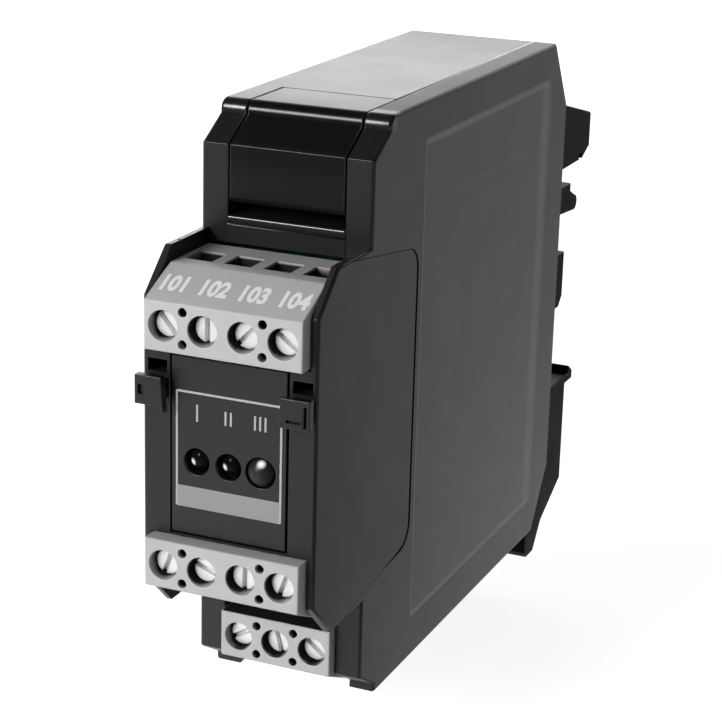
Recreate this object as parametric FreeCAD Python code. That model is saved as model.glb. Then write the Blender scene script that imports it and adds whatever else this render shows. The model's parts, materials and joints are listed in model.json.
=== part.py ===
import FreeCAD, Part
import math
import os

# Relay module in a narrow housing with plug terminals, for a 35 mm top-hat rail.
# Millimetres: X runs across the width, Y from the front to the rail, Z up.
# The origin is on the rail's front face, at the middle of the rail.

V = FreeCAD.Vector

# Plug terminal blocks
PITCH = 5.08
FRONT_POLES = 4
REAR_POLES = 3
BLOCK_TRIM = 0.1
BLOCK_HEIGHT = 9.0
BLOCK_FLOOR = 0.5
BLOCK_ROUND = 0.25
FACE_HEIGHT = 6.05
LABEL_RUN = 6.3
FRONT_PROUD = 1.9
REAR_PROUD = 1.4
PARTITION = 0.68
ENTRY_FLARE = 0.12
TEST_HOLE = 1.1
TEST_HOLE_RISE = 1.93
TEST_HOLE_DEPTH = 3.2

# Clamp screws, cages and contact strips
HEAD = 3.4
HEAD_HEIGHT = 1.8
HEAD_RECESS = 1.4
HEAD_BEVEL = 0.2
DRIVE_SLOT = 0.6
DRIVE_DEPTH = 0.8
SHANK = 2.5
THREAD_PITCH = 0.45
SCREW_TURNS = 5
LEDGE = 1.2
CAGE_EDGE = 0.6
CAGE_FRONT = 2.2
CAGE_REAR = 0.8
CAGE_SIDE = 0.5
WIRE_GAP = 2.5
STRIP = 0.6
FORK_REACH = 3.05
FORK_HEIGHT = 1.9
UPPER_DRIVES = (-50, 90, 45, -35)
LOWER_DRIVES = (-68, 20, -88, -70)
REAR_DRIVES = (-30, 75, 38)

# Pin headers and circuit boards
PIN = 0.96
PIN_CLEAR = 0.02
HEADER_DEPTH = 3.4
HEADER_HEIGHT = 8.0
HEADER_TRIM = 1.4
BOARD = 1.6
SOLDER = 1.0
BOARD_INSET = 2.8
BOARD_EDGE = 0.25
GUIDE_RIB = 1.0
GUIDE_DEPTH = 2.0

# Parts on the boards
RELAY_LENGTH = 29.0
RELAY_WIDTH = 12.7
RELAY_HEIGHT = 15.0
RELAY_ROUND = 0.5
RELAY_GAP = 3.0
CORE_LENGTH = 30.0
CORE_WIDTH = 20.0
CORE_HEIGHT = 13.0
BOBBIN_STEP = 3.0
CAN = 10.0
CAN_HEIGHT = 13.0
CAN_MARGIN = 9.0

# Housing
WALL = 1.6
EDGE_ROUND = 0.45
SHOULDER_RISE = 1.9
STEP_DEPTH = 14.7
STEP_RISE = 14.9
CHAMFER_DROP = 4.5
LIP_HEIGHT = 1.7
LIP_SETBACK = 4.7
LIP_ROUND = 1.5
FLOOR_TRIM = 0.6
BODY_DEPTH = 86.3
BACK_RUN = 6.1
BACK_DROP = 9.5
REAR_DROP = 1.7
SHELF = 1.8
SHELF_GROOVE = 0.3
SHELF_ROUND = 0.4
COVER_TONGUE = 0.8
TONGUE_REACH = 1.5

# Front cap, its insert panel and the indicator lights
CAP_WALL = 1.0
CAP_FRONT = 2.2
NOSE_RUN = 5.2
NOSE_DROP = 4.9
CORNER_RUN = 2.0
FLAP_DEPTH = 29.1
FLAP_DROP = 3.2
FLAP_CORNER = 3.0
FLAP_GAP = 0.6
FLAP_SLIT = 8.5
POCKET_WALL = 1.2
NUB_DEPTH = 3.4
NUB_HEIGHT = 7.4
NUB_OFFSET = 3.4
NUB_RISE = 0.4
PANEL_HEIGHT = 22.0
PANEL_WIDTH = 14.9
PANEL_THICKNESS = 1.5
PANEL_RIM = 0.7
PANEL_LEDGE = 1.4
LIGHT_PITCH = 4.15
LIGHT_DROP = 1.8
LIGHTS = ((3.1, 0.35), (3.1, 0.35), (3.6, -0.9))
LIGHT_DEPTH = 5.0
LIGHT_FLANGE = 0.25
FLANGE_THICKNESS = 1.0
LINK_PINS = 4
LINK_PITCH = 2.54
LINK_PIN = 0.64

# Hook lugs on the front strips
LUG_WIDTH = 3.8
LUG_HEIGHT = 3.6
LUG_RISE = 5.0
LUG_PROUD = 2.1
LUG_PLATE = 1.1
LUG_STEM_TRIM = 0.5
LUG_TAIL = 0.7
LUG_POCKET = 0.8
LUG_GROOVE = 0.35
LUG_SLOT_HEIGHT = 1.5
LUG_SLOT_WIDTH = 2.5

# Blank cover of the unused rear place
BLANK_WALL = 1.5
BLANK_GAP = 1.4
BLANK_ROUND = 1.0

# Rail, rail foot and slider
RAIL_WIDTH = 35.0
RAIL_GAUGE = 1.0
FOOT_DEPTH = 13.3
FOOT_WIDTH = 19.0
FOOT_BASE = 2.0
FOOT_MARGIN = 1.0
FOOT_PEG = 4.0
FOOT_PEG_SPACING = 30.0
HOOK_RISE = 9.15
HOOK_SLOPE = 3.05
HOOK_REACH = 4.46
HOOK_CATCH = 0.7
HOOK_SHOULDER = 3.3
HOOK_ROUND = 0.4
SEAT_WIDTH = 8.0
SEAT_PLATE = 2.0
SEAT_WEB = 2.0
SEAT_END = 1.6
FINGER_WIDTH = 2.2
FINGER_TOP = 14.0
FINGER_LOW = 10.2
FINGER_TIP = 1.2
FINGER_NECK = 3.6
RIDGE_WIDTH = 1.5
RIDGE_TOP = 3.6
RIDGE_LOW = 4.9
RIDGE_REACH = 5.0
GUIDE_STEM = 5.0
GUIDE_HEAD = 8.4
GUIDE_STEP = 2.2
GUIDE_PLATE = 2.0
GUIDE_END = 13.5
PEG_PLATE = 1.2
SLIDER_WIDTH = 18.6
SLIDER_TRAVEL = 4.5
SLIDER_CATCH = 0.8
SLIDER_LIP = 1.9
SLIDER_NOSE = 0.3
SLIDER_FLANGE = 1.4
SLIDER_BACK = 0.3
SLIDER_HEEL = 17.4
HEEL_RUN = 8.6
HEEL_DROP = 4.3
PULL_DROP = 5.7
PULL_THICKNESS = 3.0
PULL_BEVEL = 0.9
PULL_SLOT_WIDTH = 6.0
PULL_SLOT = 1.4
PULL_SLOT_DEPTH = 3.5
SPRING_FOLDS = 4
SPRING_STRIP = 0.35
SPRING_WIDTH = 3.0
SPRING_RUN = 1.6
SPRING_PRESSED = 3.5

# Clearances
HEAD_CLEAR = 0.175
BORE_CLEAR = 0.15
THREAD_CLEAR = 0.05
END_CLEAR = 0.1
CAGE_CLEAR = 0.15
FLOOR_CLEAR = 0.2
STRIP_CLEAR = 0.3
SIDE_CLEAR = 0.14
PLUG_CLEAR = 0.12
SEAM = 0.08
PANEL_CLEAR = 0.25
LIGHT_CLEAR = 0.1
RAIL_CLEAR = 0.25
GUIDE_CLEAR = 0.25
STOP_CLEAR = 0.6
FIT_CLEAR = 0.1

# Room past a face, for cuts that run right through
PAST = 5.0
SAME = 1e-6

# Terminal block sections, measured from the block's front face
cage_height = SHANK + 2 * CAGE_EDGE
cage_width = PITCH - PARTITION - 2 * CAGE_CLEAR
cage_mouth = cage_width - 2 * CAGE_SIDE
strip_width = cage_mouth - 2 * STRIP_CLEAR
screw_rise = BLOCK_FLOOR + STRIP + FLOOR_CLEAR + cage_height / 2
cage_travel = THREAD_PITCH * SCREW_TURNS
head_end = HEAD_RECESS + HEAD_HEIGHT
ledge_start = head_end + END_CLEAR
chamber_start = ledge_start + LEDGE
cage_start = chamber_start + CAGE_CLEAR + cage_travel
strip_start = cage_start + CAGE_FRONT + CAGE_CLEAR
wire_start = strip_start + STRIP
wire_end = wire_start + WIRE_GAP
cage_end = wire_end + CAGE_REAR
block_depth = cage_end + FORK_REACH
pin_rise = BLOCK_FLOOR + FORK_HEIGHT / 2
shank_end = strip_start - END_CLEAR


def block_half(poles):
    """Half the width of a plug block."""
    return (poles * PITCH - BLOCK_TRIM) / 2


# Housing sections
cap_inner = block_half(FRONT_POLES) + SIDE_CLEAR
half_width = cap_inner + CAP_WALL
slot_half = block_half(REAR_POLES) + SIDE_CLEAR
front_base = PANEL_HEIGHT / 2 + PANEL_RIM
shoulder = front_base + BLOCK_HEIGHT + SHOULDER_RISE
half_height = shoulder + STEP_RISE
rear_base = half_height - REAR_DROP - BLOCK_HEIGHT
front = -(BODY_DEPTH + FOOT_DEPTH)
back = -FOOT_DEPTH
step = front + STEP_DEPTH
lip = step + LIP_SETBACK
back_half = half_height - BACK_DROP
front_block = front - FRONT_PROUD
rear_block = step - REAR_PROUD
slot_end = rear_block + block_depth + SIDE_CLEAR
flap_end = front + FLAP_DEPTH
flap_half = shoulder - FLAP_DROP
wedge = front + NOSE_RUN + CORNER_RUN
inner_half = half_width - WALL
inner_height = half_height - WALL
inner_floor = inner_height - FLOOR_TRIM
header_front = front_block + block_depth + FIT_CLEAR
front_board = header_front + HEADER_DEPTH
rear_board = rear_block + block_depth + FIT_CLEAR + HEADER_DEPTH
board_face = -inner_half + BOARD_INSET
parts_start = rear_board + BOARD + SOLDER + RELAY_GAP
light_board = front + LIGHT_DEPTH

# Rail foot sections
rail_half = RAIL_WIDTH / 2
base_face = back + FOOT_BASE
foot_half = FOOT_WIDTH / 2
hook_under = rail_half - HOOK_CATCH
seat_low = -rail_half + SEAT_END
slider_top = -rail_half - GUIDE_CLEAR
slider_front = base_face + GUIDE_CLEAR
guide_face = base_face + GUIDE_STEP
guide_back = guide_face + GUIDE_PLATE
guide_low = -rail_half - GUIDE_END
spring_height = SLIDER_TRAVEL + SPRING_PRESSED
spring_low = guide_low + PEG_PLATE
spring_top = spring_low + spring_height
foot_low = -back_half + FOOT_MARGIN


def box(x, y, z):
    """Block between pairs of X, Y and Z values."""
    low = V(min(x), min(y), min(z))
    return Part.makeBox(max(x) - low.x, max(y) - low.y, max(z) - low.z, low)


def prism(outline, x):
    """Outline of (y, z) points carried along X."""
    points = [V(x[0], y, z) for y, z in outline]
    return Part.Face(Part.makePolygon(points + points[:1])).extrude(V(x[1] - x[0], 0, 0))


def plate(outline, y):
    """Outline of (x, z) points carried along Y."""
    points = [V(px, y[0], pz) for px, pz in outline]
    return Part.Face(Part.makePolygon(points + points[:1])).extrude(V(0, y[1] - y[0], 0))


def rod(diameter, x, z, y):
    """Cylinder along Y between two Y values."""
    return Part.makeCylinder(diameter / 2, y[1] - y[0], V(x, y[0], z), V(0, 1, 0))


def turned(profile, x, z):
    """Profile of (radius, y) points turned about a line along Y."""
    points = [V(x + radius, y, z) for radius, y in profile]
    return Part.Face(Part.makePolygon(points + points[:1])).revolve(V(x, 0, z), V(0, 1, 0), 360)


def flip(shape):
    """The same piece below the middle, mirrored."""
    return shape.mirror(V(0, 0, 0), V(0, 0, 1))


def mirrored(points):
    """Points below the middle, in the order that closes the outline."""
    return [(y, -z) for y, z in reversed(points)]


def inset(outline, wall):
    """Outline moved inwards by a wall, with mitred corners."""
    moved = []
    count = len(outline)
    for i in range(count):
        ya, za = outline[i - 1]
        yb, zb = outline[i]
        yc, zc = outline[(i + 1) % count]
        first = math.hypot(yb - ya, zb - za)
        second = math.hypot(yc - yb, zc - zb)
        n1 = ((za - zb) / first, (yb - ya) / first)
        n2 = ((zb - zc) / second, (yc - yb) / second)
        spread = 1 + n1[0] * n2[0] + n1[1] * n2[1]
        moved.append((yb + wall * (n1[0] + n2[0]) / spread, zb + wall * (n1[1] + n2[1]) / spread))
    return moved


def edges_where(shape, test):
    """Edges whose end points all pass a test."""
    return [e for e in shape.Edges if all(test(v.Point) for v in e.Vertexes)]


def along_x(shape, y, z):
    """Edges that run along X through a given Y and Z."""
    return edges_where(shape, lambda p: abs(p.y - y) < SAME and abs(p.z - z) < SAME)


def pole_centres(poles):
    """X of each pole, left to right."""
    return [PITCH * (i - (poles - 1) / 2) for i in range(poles)]


def terminal_block(poles, face, base):
    """Plug block: screw wells, clamp chambers open at the back, wire entries and test holes."""
    half = block_half(poles)
    outline = [(face, base), (face + block_depth, base), (face + block_depth, base + BLOCK_HEIGHT),
               (face + LABEL_RUN, base + BLOCK_HEIGHT), (face, base + FACE_HEIGHT)]
    block = prism(outline, (-half, half))
    block = block.makeFillet(BLOCK_ROUND, edges_where(block, lambda p: p.y < face + LABEL_RUN + SAME))
    axis = base + screw_rise
    ceiling = axis + cage_height / 2 + CAGE_CLEAR
    chamber = cage_width / 2 + CAGE_CLEAR
    cuts = []
    for x in pole_centres(poles):
        cuts.append(rod(HEAD + 2 * HEAD_CLEAR, x, axis, (face - PAST, face + ledge_start)))
        cuts.append(rod(SHANK + 2 * BORE_CLEAR, x, axis, (face, face + chamber_start)))
        cuts.append(box((x - chamber, x + chamber), (face + chamber_start, face + block_depth + PAST),
                        (base + BLOCK_FLOOR, ceiling)))
        cuts.append(wire_entry(x, face, ceiling, base + BLOCK_HEIGHT))
    for x in test_holes(poles):
        for rise in (-TEST_HOLE_RISE, TEST_HOLE_RISE):
            cuts.append(rod(TEST_HOLE, x, axis + rise, (face - PAST, face + TEST_HOLE_DEPTH)))
    return block.cut(cuts).removeSplitter()


def wire_entry(x, face, low, top):
    """Square wire shaft over the cage, flared at its mouth."""
    half = cage_mouth / 2
    rings = []
    for z, grow in ((low - CAGE_CLEAR, 0), (top - 2 * ENTRY_FLARE, 0), (top, ENTRY_FLARE)):
        y0 = face + wire_start - grow
        y1 = face + wire_end + grow
        corners = [V(x - half - grow, y0, z), V(x + half + grow, y0, z),
                   V(x + half + grow, y1, z), V(x - half - grow, y1, z)]
        rings.append(Part.makePolygon(corners + corners[:1]))
    return Part.makeLoft(rings, True, True)


def test_holes(poles):
    """X of the test holes: between every pair on an odd block, between pairs of two on an even one."""
    centres = pole_centres(poles)
    every = 1 if poles % 2 else 2
    return [(centres[i] + centres[i + 1]) / 2 for i in range(0, poles - 1, every)]


def clamp_screw(x, face, base, drive):
    """Slotted screw, its flat end at the contact strip."""
    axis = base + screw_rise
    head = HEAD / 2
    shank = SHANK / 2
    profile = [(0, face + HEAD_RECESS), (head - HEAD_BEVEL, face + HEAD_RECESS),
               (head, face + HEAD_RECESS + HEAD_BEVEL), (head, face + head_end), (shank, face + head_end),
               (shank, face + shank_end), (0, face + shank_end)]
    slot = box((x - HEAD, x + HEAD), (face, face + HEAD_RECESS + DRIVE_DEPTH),
               (axis - DRIVE_SLOT / 2, axis + DRIVE_SLOT / 2))
    slot.rotate(V(x, 0, axis), V(0, -1, 0), drive)
    return turned(profile, x, axis).cut(slot)


def clamp_cage(x, face, base):
    """Folded cage round the strip and the wire, at its open end of travel."""
    axis = base + screw_rise
    heights = (axis - cage_height / 2, axis + cage_height / 2)
    cage = box((x - cage_width / 2, x + cage_width / 2), (face + cage_start, face + cage_end), heights)
    mouth = box((x - cage_mouth / 2, x + cage_mouth / 2), (face + cage_start + CAGE_FRONT, face + wire_end),
                (heights[0] - PAST, heights[1] + PAST))
    bore = rod(SHANK + 2 * THREAD_CLEAR, x, axis, (face, face + cage_start + CAGE_FRONT))
    return cage.cut([mouth, bore])


def contact_strip(x, face, base):
    """Bent strip: clamping leg through the cage, foot under it, fork for the header pin."""
    axis = base + screw_rise
    floor = base + BLOCK_FLOOR
    half = strip_width / 2
    leg = box((x - half, x + half), (face + strip_start, face + wire_start), (floor, axis + cage_height / 2))
    foot = box((x - half, x + half), (face + strip_start, face + block_depth), (floor, floor + STRIP))
    fork = box((x - half, x + half), (face + cage_end + END_CLEAR, face + block_depth),
               (floor, floor + FORK_HEIGHT))
    gap = PIN / 2 + PIN_CLEAR
    throat = box((x - gap, x + gap), (face + cage_end + STRIP, face + block_depth + PAST),
                 (floor - PAST, floor + PAST))
    return leg.fuse([foot, fork]).cut(throat).removeSplitter()


def header_body(poles, face, base):
    """Pin header that the plug block is pushed on to."""
    half = block_half(poles) - HEADER_TRIM / 2
    start = face + block_depth + FIT_CLEAR
    body = box((-half, half), (start, start + HEADER_DEPTH), (base, base + HEADER_HEIGHT))
    gap = PIN / 2 + PIN_CLEAR
    z = base + pin_rise
    holes = [box((x - gap, x + gap), (start - PAST, start + HEADER_DEPTH + PAST), (z - gap, z + gap))
             for x in pole_centres(poles)]
    return body.cut(holes)


def header_pin(x, face, base):
    """Square pin from the contact fork to the far side of its board."""
    z = base + pin_rise
    end = face + block_depth + FIT_CLEAR + HEADER_DEPTH + BOARD + SOLDER
    return box((x - PIN / 2, x + PIN / 2), (face + cage_end + 2 * STRIP, end), (z - PIN / 2, z + PIN / 2))


def pin_holes(poles, y, base):
    """Cuts for a header's pins through its board."""
    gap = PIN / 2 + PIN_CLEAR
    z = base + pin_rise
    return [box((x - gap, x + gap), (y - PAST, y + BOARD + PAST), (z - gap, z + gap))
            for x in pole_centres(poles)]


def housing_outline(nose):
    """Side outline of the housing, open to the front at a given Y."""
    upper = [(back, back_half), (back - BACK_RUN, half_height), (lip, half_height),
             (lip, half_height - LIP_HEIGHT), (step, half_height - CHAMFER_DROP), (step, shoulder),
             (nose, shoulder)]
    floor = FLOOR_TRIM - half_height
    return upper + [(y, max(z, floor)) for y, z in mirrored(upper)]


def cap_outline():
    """Side outline of the front cap with its flaps."""
    upper = [(flap_end, flap_half), (wedge, shoulder), (front + NOSE_RUN, shoulder),
             (front, shoulder - NOSE_DROP)]
    return upper + mirrored(upper)


def flap_recess(side):
    """Recess in one housing side that takes the cap's flap, with the slit behind and below it."""
    outer = side * (half_width + PAST)
    inner = side * (cap_inner - FIT_CLEAR)
    rear = flap_end + FLAP_GAP
    slope = FLAP_DROP / (flap_end - wedge)
    slit = flap_end - FLAP_SLIT
    rear_half = shoulder - slope * (rear - wedge)
    slit_half = shoulder - slope * (slit - wedge) + SEAM
    outline = [(rear, rear_half + SEAM), (wedge, shoulder + SEAM), (front - PAST, shoulder + SEAM),
               (front - PAST, -shoulder - SEAM), (wedge, -shoulder - SEAM), (slit, -slit_half),
               (rear, -rear_half - FLAP_GAP)]
    recess = prism(outline, sorted((inner, outer)))
    corners = edges_where(recess, lambda p: abs(p.y - rear) < SAME)
    along = [e for e in corners if abs(e.Vertexes[0].X - e.Vertexes[1].X) > SAME]
    return recess.makeFillet(FLAP_CORNER + FLAP_GAP / 2, along)


def snap_window(side):
    """Window behind the flap for its snap nub."""
    x = sorted((side * (inner_half - PAST), side * half_width))
    y = flap_end - NUB_OFFSET
    height = NUB_HEIGHT / 2 + FIT_CLEAR
    return box(x, (y - NUB_DEPTH - FIT_CLEAR, y + FIT_CLEAR), (-height, height))


def hollow(x):
    """Inside of the housing between two X values, less the corner posts and the shelves."""
    inside = prism(inset(housing_outline(front - PAST), WALL), x)
    kept = []
    for z in (1, -1):
        heights = (z * shoulder, z * (half_height + PAST))
        kept.append(box((slot_half, half_width), (step, slot_end), heights))
        kept.append(box((-slot_half, -half_width), (step, slot_end), heights))
        kept.append(box((-half_width, half_width), (step, slot_end), (z * shoulder, z * (shoulder + SHELF))))
    return inside.cut(kept)


def nose_opening():
    """Room for the cap and the front plug blocks."""
    high = shoulder + STEP_RISE / 2
    return box((-cap_inner, cap_inner), (front - PAST, step), (-high, high))


def rear_slot(z):
    """Place of a rear plug block, open to the front and to the outside."""
    width = (-slot_half, half_width)
    return box(width, (front, slot_end), (z * (shoulder + SHELF), z * (half_height + PAST)))


def shelf_groove(z):
    """Fine groove along the front of a shelf."""
    middle = z * (shoulder + SHELF / 2)
    return box((-slot_half, half_width), (step - PAST, step + SHELF_GROOVE),
               (middle - SHELF_GROOVE / 2, middle + SHELF_GROOVE / 2))


def housing_shell():
    """Tub: left side, top, bottom and back, with board guides and the rear terminal places."""
    split = slot_half
    shell = prism(housing_outline(wedge), (-half_width, split))
    shell = shell.makeFillet(LIP_ROUND, along_x(shell, lip, half_height))
    shell = shell.makeFillet(EDGE_ROUND, edges_where(shell, lambda p: p.x < -half_width + SAME))
    cuts = [hollow((-inner_half, split + PAST)), flap_recess(-1), nose_opening(), snap_window(-1)]
    for z in (1, -1):
        cuts.append(rear_slot(z))
        cuts.append(shelf_groove(z))
        cuts.append(rod(FOOT_PEG + 2 * FIT_CLEAR, 0, z * FOOT_PEG_SPACING / 2, (back - PAST, back + PAST)))
    shell = shell.cut(cuts).removeSplitter()
    for z in (1, -1):
        shell = shell.makeFillet(SHELF_ROUND, along_x(shell, step, z * (shoulder + SHELF)))
    ribs = []
    for z, wall in ((1, inner_height), (-1, inner_floor)):
        for x in (board_face + FIT_CLEAR, board_face - BOARD - FIT_CLEAR - GUIDE_RIB):
            ribs.append(box((x, x + GUIDE_RIB), (parts_start, back - BACK_RUN),
                            (z * (wall - GUIDE_DEPTH), z * (wall + WALL / 2))))
    return shell.fuse(ribs).removeSplitter()


def side_cover():
    """Right side with its rim and the tongues that enter the tub."""
    split = slot_half
    cover = prism(housing_outline(wedge), (split, half_width))
    cover = cover.makeFillet(LIP_ROUND, along_x(cover, lip, half_height))
    cover = cover.makeFillet(EDGE_ROUND, edges_where(cover, lambda p: p.x > half_width - SAME))
    cover = cover.cut([hollow((split - PAST, inner_half)), flap_recess(1), nose_opening(), snap_window(1)])
    reach = (split - TONGUE_REACH, inner_half + WALL / 2)
    tongues = []
    for z, wall in ((1, inner_height), (-1, inner_floor)):
        high = wall - FIT_CLEAR
        tongues.append(box(reach, (parts_start, back - BACK_RUN - WALL),
                           (z * (high - COVER_TONGUE), z * high)))
    deep = back - WALL - FIT_CLEAR
    tongues.append(box(reach, (deep - COVER_TONGUE, deep), (-back_half / 2, back_half / 2)))
    return cover.fuse(tongues).removeSplitter()


def front_cap():
    """Cap with side flaps, plug pockets, panel recess and hook lugs."""
    cap = prism(cap_outline(), (-half_width, half_width))
    corners = [e for e in edges_where(cap, lambda p: p.y > flap_end - SAME)
               if abs(e.Vertexes[0].X - e.Vertexes[1].X) > SAME]
    cap = cap.makeFillet(FLAP_CORNER, corners)
    rims = edges_where(cap, lambda p: abs(p.x) > half_width - SAME and p.y < flap_end - FLAP_CORNER)
    cap = cap.makeFillet(EDGE_ROUND, [e for e in rims if abs(e.Vertexes[0].X - e.Vertexes[1].X) < SAME])
    pocket = front_base - PLUG_CLEAR
    shelf = pocket - POCKET_WALL
    width = (-cap_inner, cap_inner)
    rear = flap_end + PAST
    cuts = [box(width, (front + CAP_FRONT, rear), (-shelf, shelf)),
            box(width, (step, rear), (-pocket, pocket))]
    for z in (1, -1):
        cuts.append(box(width, (front - PAST, rear), (z * pocket, z * (shoulder + PAST))))
    recess = PANEL_WIDTH / 2 + PANEL_CLEAR
    high = PANEL_HEIGHT / 2 + PANEL_CLEAR
    cuts.append(box((-recess, recess), (front - PAST, front + PANEL_THICKNESS), (-high, high)))
    window = recess - PANEL_LEDGE
    cuts.append(box((-window, window), (front - PAST, front + CAP_FRONT),
                    (PANEL_LEDGE - high, high - PANEL_LEDGE)))
    nubs = []
    for side in (1, -1):
        slot = side * (half_width + PANEL_WIDTH / 2) / 2
        low = LUG_RISE + LUG_HEIGHT
        cuts.append(box((slot - LUG_SLOT_WIDTH / 2, slot + LUG_SLOT_WIDTH / 2),
                        (front - PAST, front + PAST), (low, low + LUG_SLOT_HEIGHT)))
        y = flap_end - NUB_OFFSET
        nubs.append(box((side * (cap_inner - NUB_RISE), side * (cap_inner + CAP_WALL / 2)),
                        (y - NUB_DEPTH, y), (-NUB_HEIGHT / 2, NUB_HEIGHT / 2)))
    return cap.cut(cuts).fuse(nubs + [left_lug(), right_lug()]).removeSplitter()


def lug_stem(side):
    """Neck between a hook lug's plate and the front strip."""
    outer = half_width - LUG_STEM_TRIM
    inner = PANEL_WIDTH / 2 + LUG_STEM_TRIM
    return box((side * inner, side * outer), (front - LUG_PROUD + LUG_PLATE, front + CAP_FRONT / 2),
               (LUG_RISE + LUG_STEM_TRIM, LUG_RISE + LUG_HEIGHT - LUG_STEM_TRIM))


def left_lug():
    """Left hook lug: tail at its inner corner, small pocket near its outer edge."""
    outer = -half_width
    inner = outer + LUG_WIDTH
    top = LUG_RISE + LUG_HEIGHT
    outline = [(outer, LUG_RISE), (inner - LUG_TAIL, LUG_RISE), (inner, LUG_RISE - LUG_TAIL),
               (inner - LUG_TAIL / 2, top), (outer, top)]
    face = front - LUG_PROUD
    pocket = box((outer + LUG_POCKET / 2, outer + LUG_POCKET * 3 / 2), (face - PAST, face + LUG_PLATE / 2),
                 (LUG_RISE + LUG_HEIGHT / 3, LUG_RISE + LUG_HEIGHT * 2 / 3))
    return plate(outline, (face, face + LUG_PLATE)).cut(pocket).fuse(lug_stem(-1))


def right_lug():
    """Right hook lug: fine grooves over its lower lip and beside its outer edge."""
    outer = half_width
    inner = outer - LUG_WIDTH
    face = front - LUG_PROUD
    body = box((inner, outer), (face, face + LUG_PLATE), (LUG_RISE, LUG_RISE + LUG_HEIGHT))
    depth = (face - PAST, face + LUG_PLATE / 2)
    level = box((inner + LUG_POCKET, outer - LUG_POCKET - LUG_GROOVE), depth,
                (LUG_RISE + LUG_TAIL, LUG_RISE + LUG_TAIL + LUG_GROOVE))
    upright = box((outer - LUG_POCKET, outer - LUG_POCKET + LUG_GROOVE), depth,
                  (LUG_RISE + LUG_GROOVE, LUG_RISE + LUG_HEIGHT - LUG_TAIL))
    return body.cut([level, upright]).fuse(lug_stem(1))


def front_panel():
    """Insert panel with its light holes."""
    panel = box((-PANEL_WIDTH / 2, PANEL_WIDTH / 2), (front, front + PANEL_THICKNESS),
                (-PANEL_HEIGHT / 2, PANEL_HEIGHT / 2))
    holes = [rod(diameter + 2 * LIGHT_CLEAR, x, -LIGHT_DROP, (front - PAST, front + PAST))
             for x, diameter, tip in lights()]
    return panel.cut(holes)


def lights():
    """X, diameter and tip depth of each indicator light, left to right."""
    middle = (len(LIGHTS) - 1) / 2
    return [(LIGHT_PITCH * (i - middle), diameter, tip) for i, (diameter, tip) in enumerate(LIGHTS)]


def indicator(x, diameter, tip):
    """Round-nosed light with a flange that seats on its board."""
    radius = diameter / 2
    nose = front + tip
    crown = nose + radius
    flange = radius + LIGHT_FLANGE
    lens = Part.makeSphere(radius, V(x, crown, -LIGHT_DROP), V(0, 1, 0))
    barrel = rod(diameter, x, -LIGHT_DROP, (crown, light_board))
    collar = rod(2 * flange, x, -LIGHT_DROP, (light_board - FLANGE_THICKNESS, light_board))
    return barrel.fuse([lens, collar]).removeSplitter()


def blank_cover():
    """Cover of the unused rear place, following the housing's stepped top."""
    low = shoulder + SHELF + BLANK_GAP
    rear = slot_end - FIT_CLEAR
    chain = [(rear, half_height), (lip, half_height), (lip, half_height - LIP_HEIGHT),
             (step, half_height - CHAMFER_DROP), (step, low)]
    around = inset(chain + [(rear, low)], BLANK_WALL)
    outline = chain + [(around[4][0], low), around[3], around[2], around[1], (rear, around[0][1])]
    half = slot_half - SIDE_CLEAR
    cover = prism(outline, (-half, half))
    cover = cover.makeFillet(LIP_ROUND, along_x(cover, lip, half_height))
    cover = cover.makeFillet(BLANK_ROUND, along_x(cover, step, low))
    rib = prism([(rear, half_height - BLANK_WALL)] + around[1:4] + [(around[4][0], low), (rear, low)],
                (-half, BLANK_WALL - half))
    other = rib.copy()
    other.translate(V(2 * half - BLANK_WALL, 0, 0))
    return cover.fuse([rib, other]).removeSplitter()


def main_board():
    """Board along the left side, with a tongue that reaches the front board."""
    high = inner_height - BOARD_EDGE
    low = BOARD_EDGE - inner_floor
    rear = back - WALL - BOARD_EDGE
    corner = back - BACK_RUN - WALL
    slant = back_half - WALL
    upper = [(rear, slant), (corner, high), (parts_start, high), (parts_start, front_base),
             (front_board + BOARD, front_base)]
    outline = upper + [(y, max(z, low)) for y, z in mirrored(upper)]
    return prism(outline, (board_face - BOARD, board_face))


def crosswise_board(y, z, holes):
    """Board across the housing with its pin holes."""
    half = inner_half - BOARD_EDGE
    return box((-half, half), (y, y + BOARD), z).cut(holes)


def front_circuit_board():
    """Board behind the front plugs."""
    high = front_base + HEADER_HEIGHT
    holes = pin_holes(FRONT_POLES, front_board, front_base)
    holes += [flip(h) for h in holes]
    return crosswise_board(front_board, (-high, high), holes)


def rear_circuit_board():
    """Small board behind the rear plug."""
    holes = [flip(h) for h in pin_holes(REAR_POLES, rear_board, rear_base)]
    return crosswise_board(rear_board, (-rear_base, BOARD_EDGE - inner_floor), holes)


def light_circuit_board():
    """Small board that carries the indicator lights."""
    half = PANEL_WIDTH / 2
    high = front_base - PLUG_CLEAR - POCKET_WALL - BOARD_EDGE
    return box((-half, half), (light_board, light_board + BOARD), (-high, high))


def link_pins():
    """Pins between the indicator board and the front board."""
    z = -front_base / 2
    pins = []
    for i in range(LINK_PINS):
        x = LINK_PITCH * (i - (LINK_PINS - 1) / 2)
        pins.append(box((x - LINK_PIN / 2, x + LINK_PIN / 2), (light_board + BOARD, front_board),
                        (z - LINK_PIN / 2, z + LINK_PIN / 2)))
    return Part.makeCompound(pins)


def relay(z):
    """Sealed relay standing on the main board."""
    low = RELAY_GAP / 2
    case = box((board_face, board_face + RELAY_HEIGHT), (parts_start, parts_start + RELAY_WIDTH),
               (z * low, z * (low + RELAY_LENGTH)))
    return case.makeFillet(RELAY_ROUND, edges_where(case, lambda p: p.x > board_face + SAME))


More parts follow.
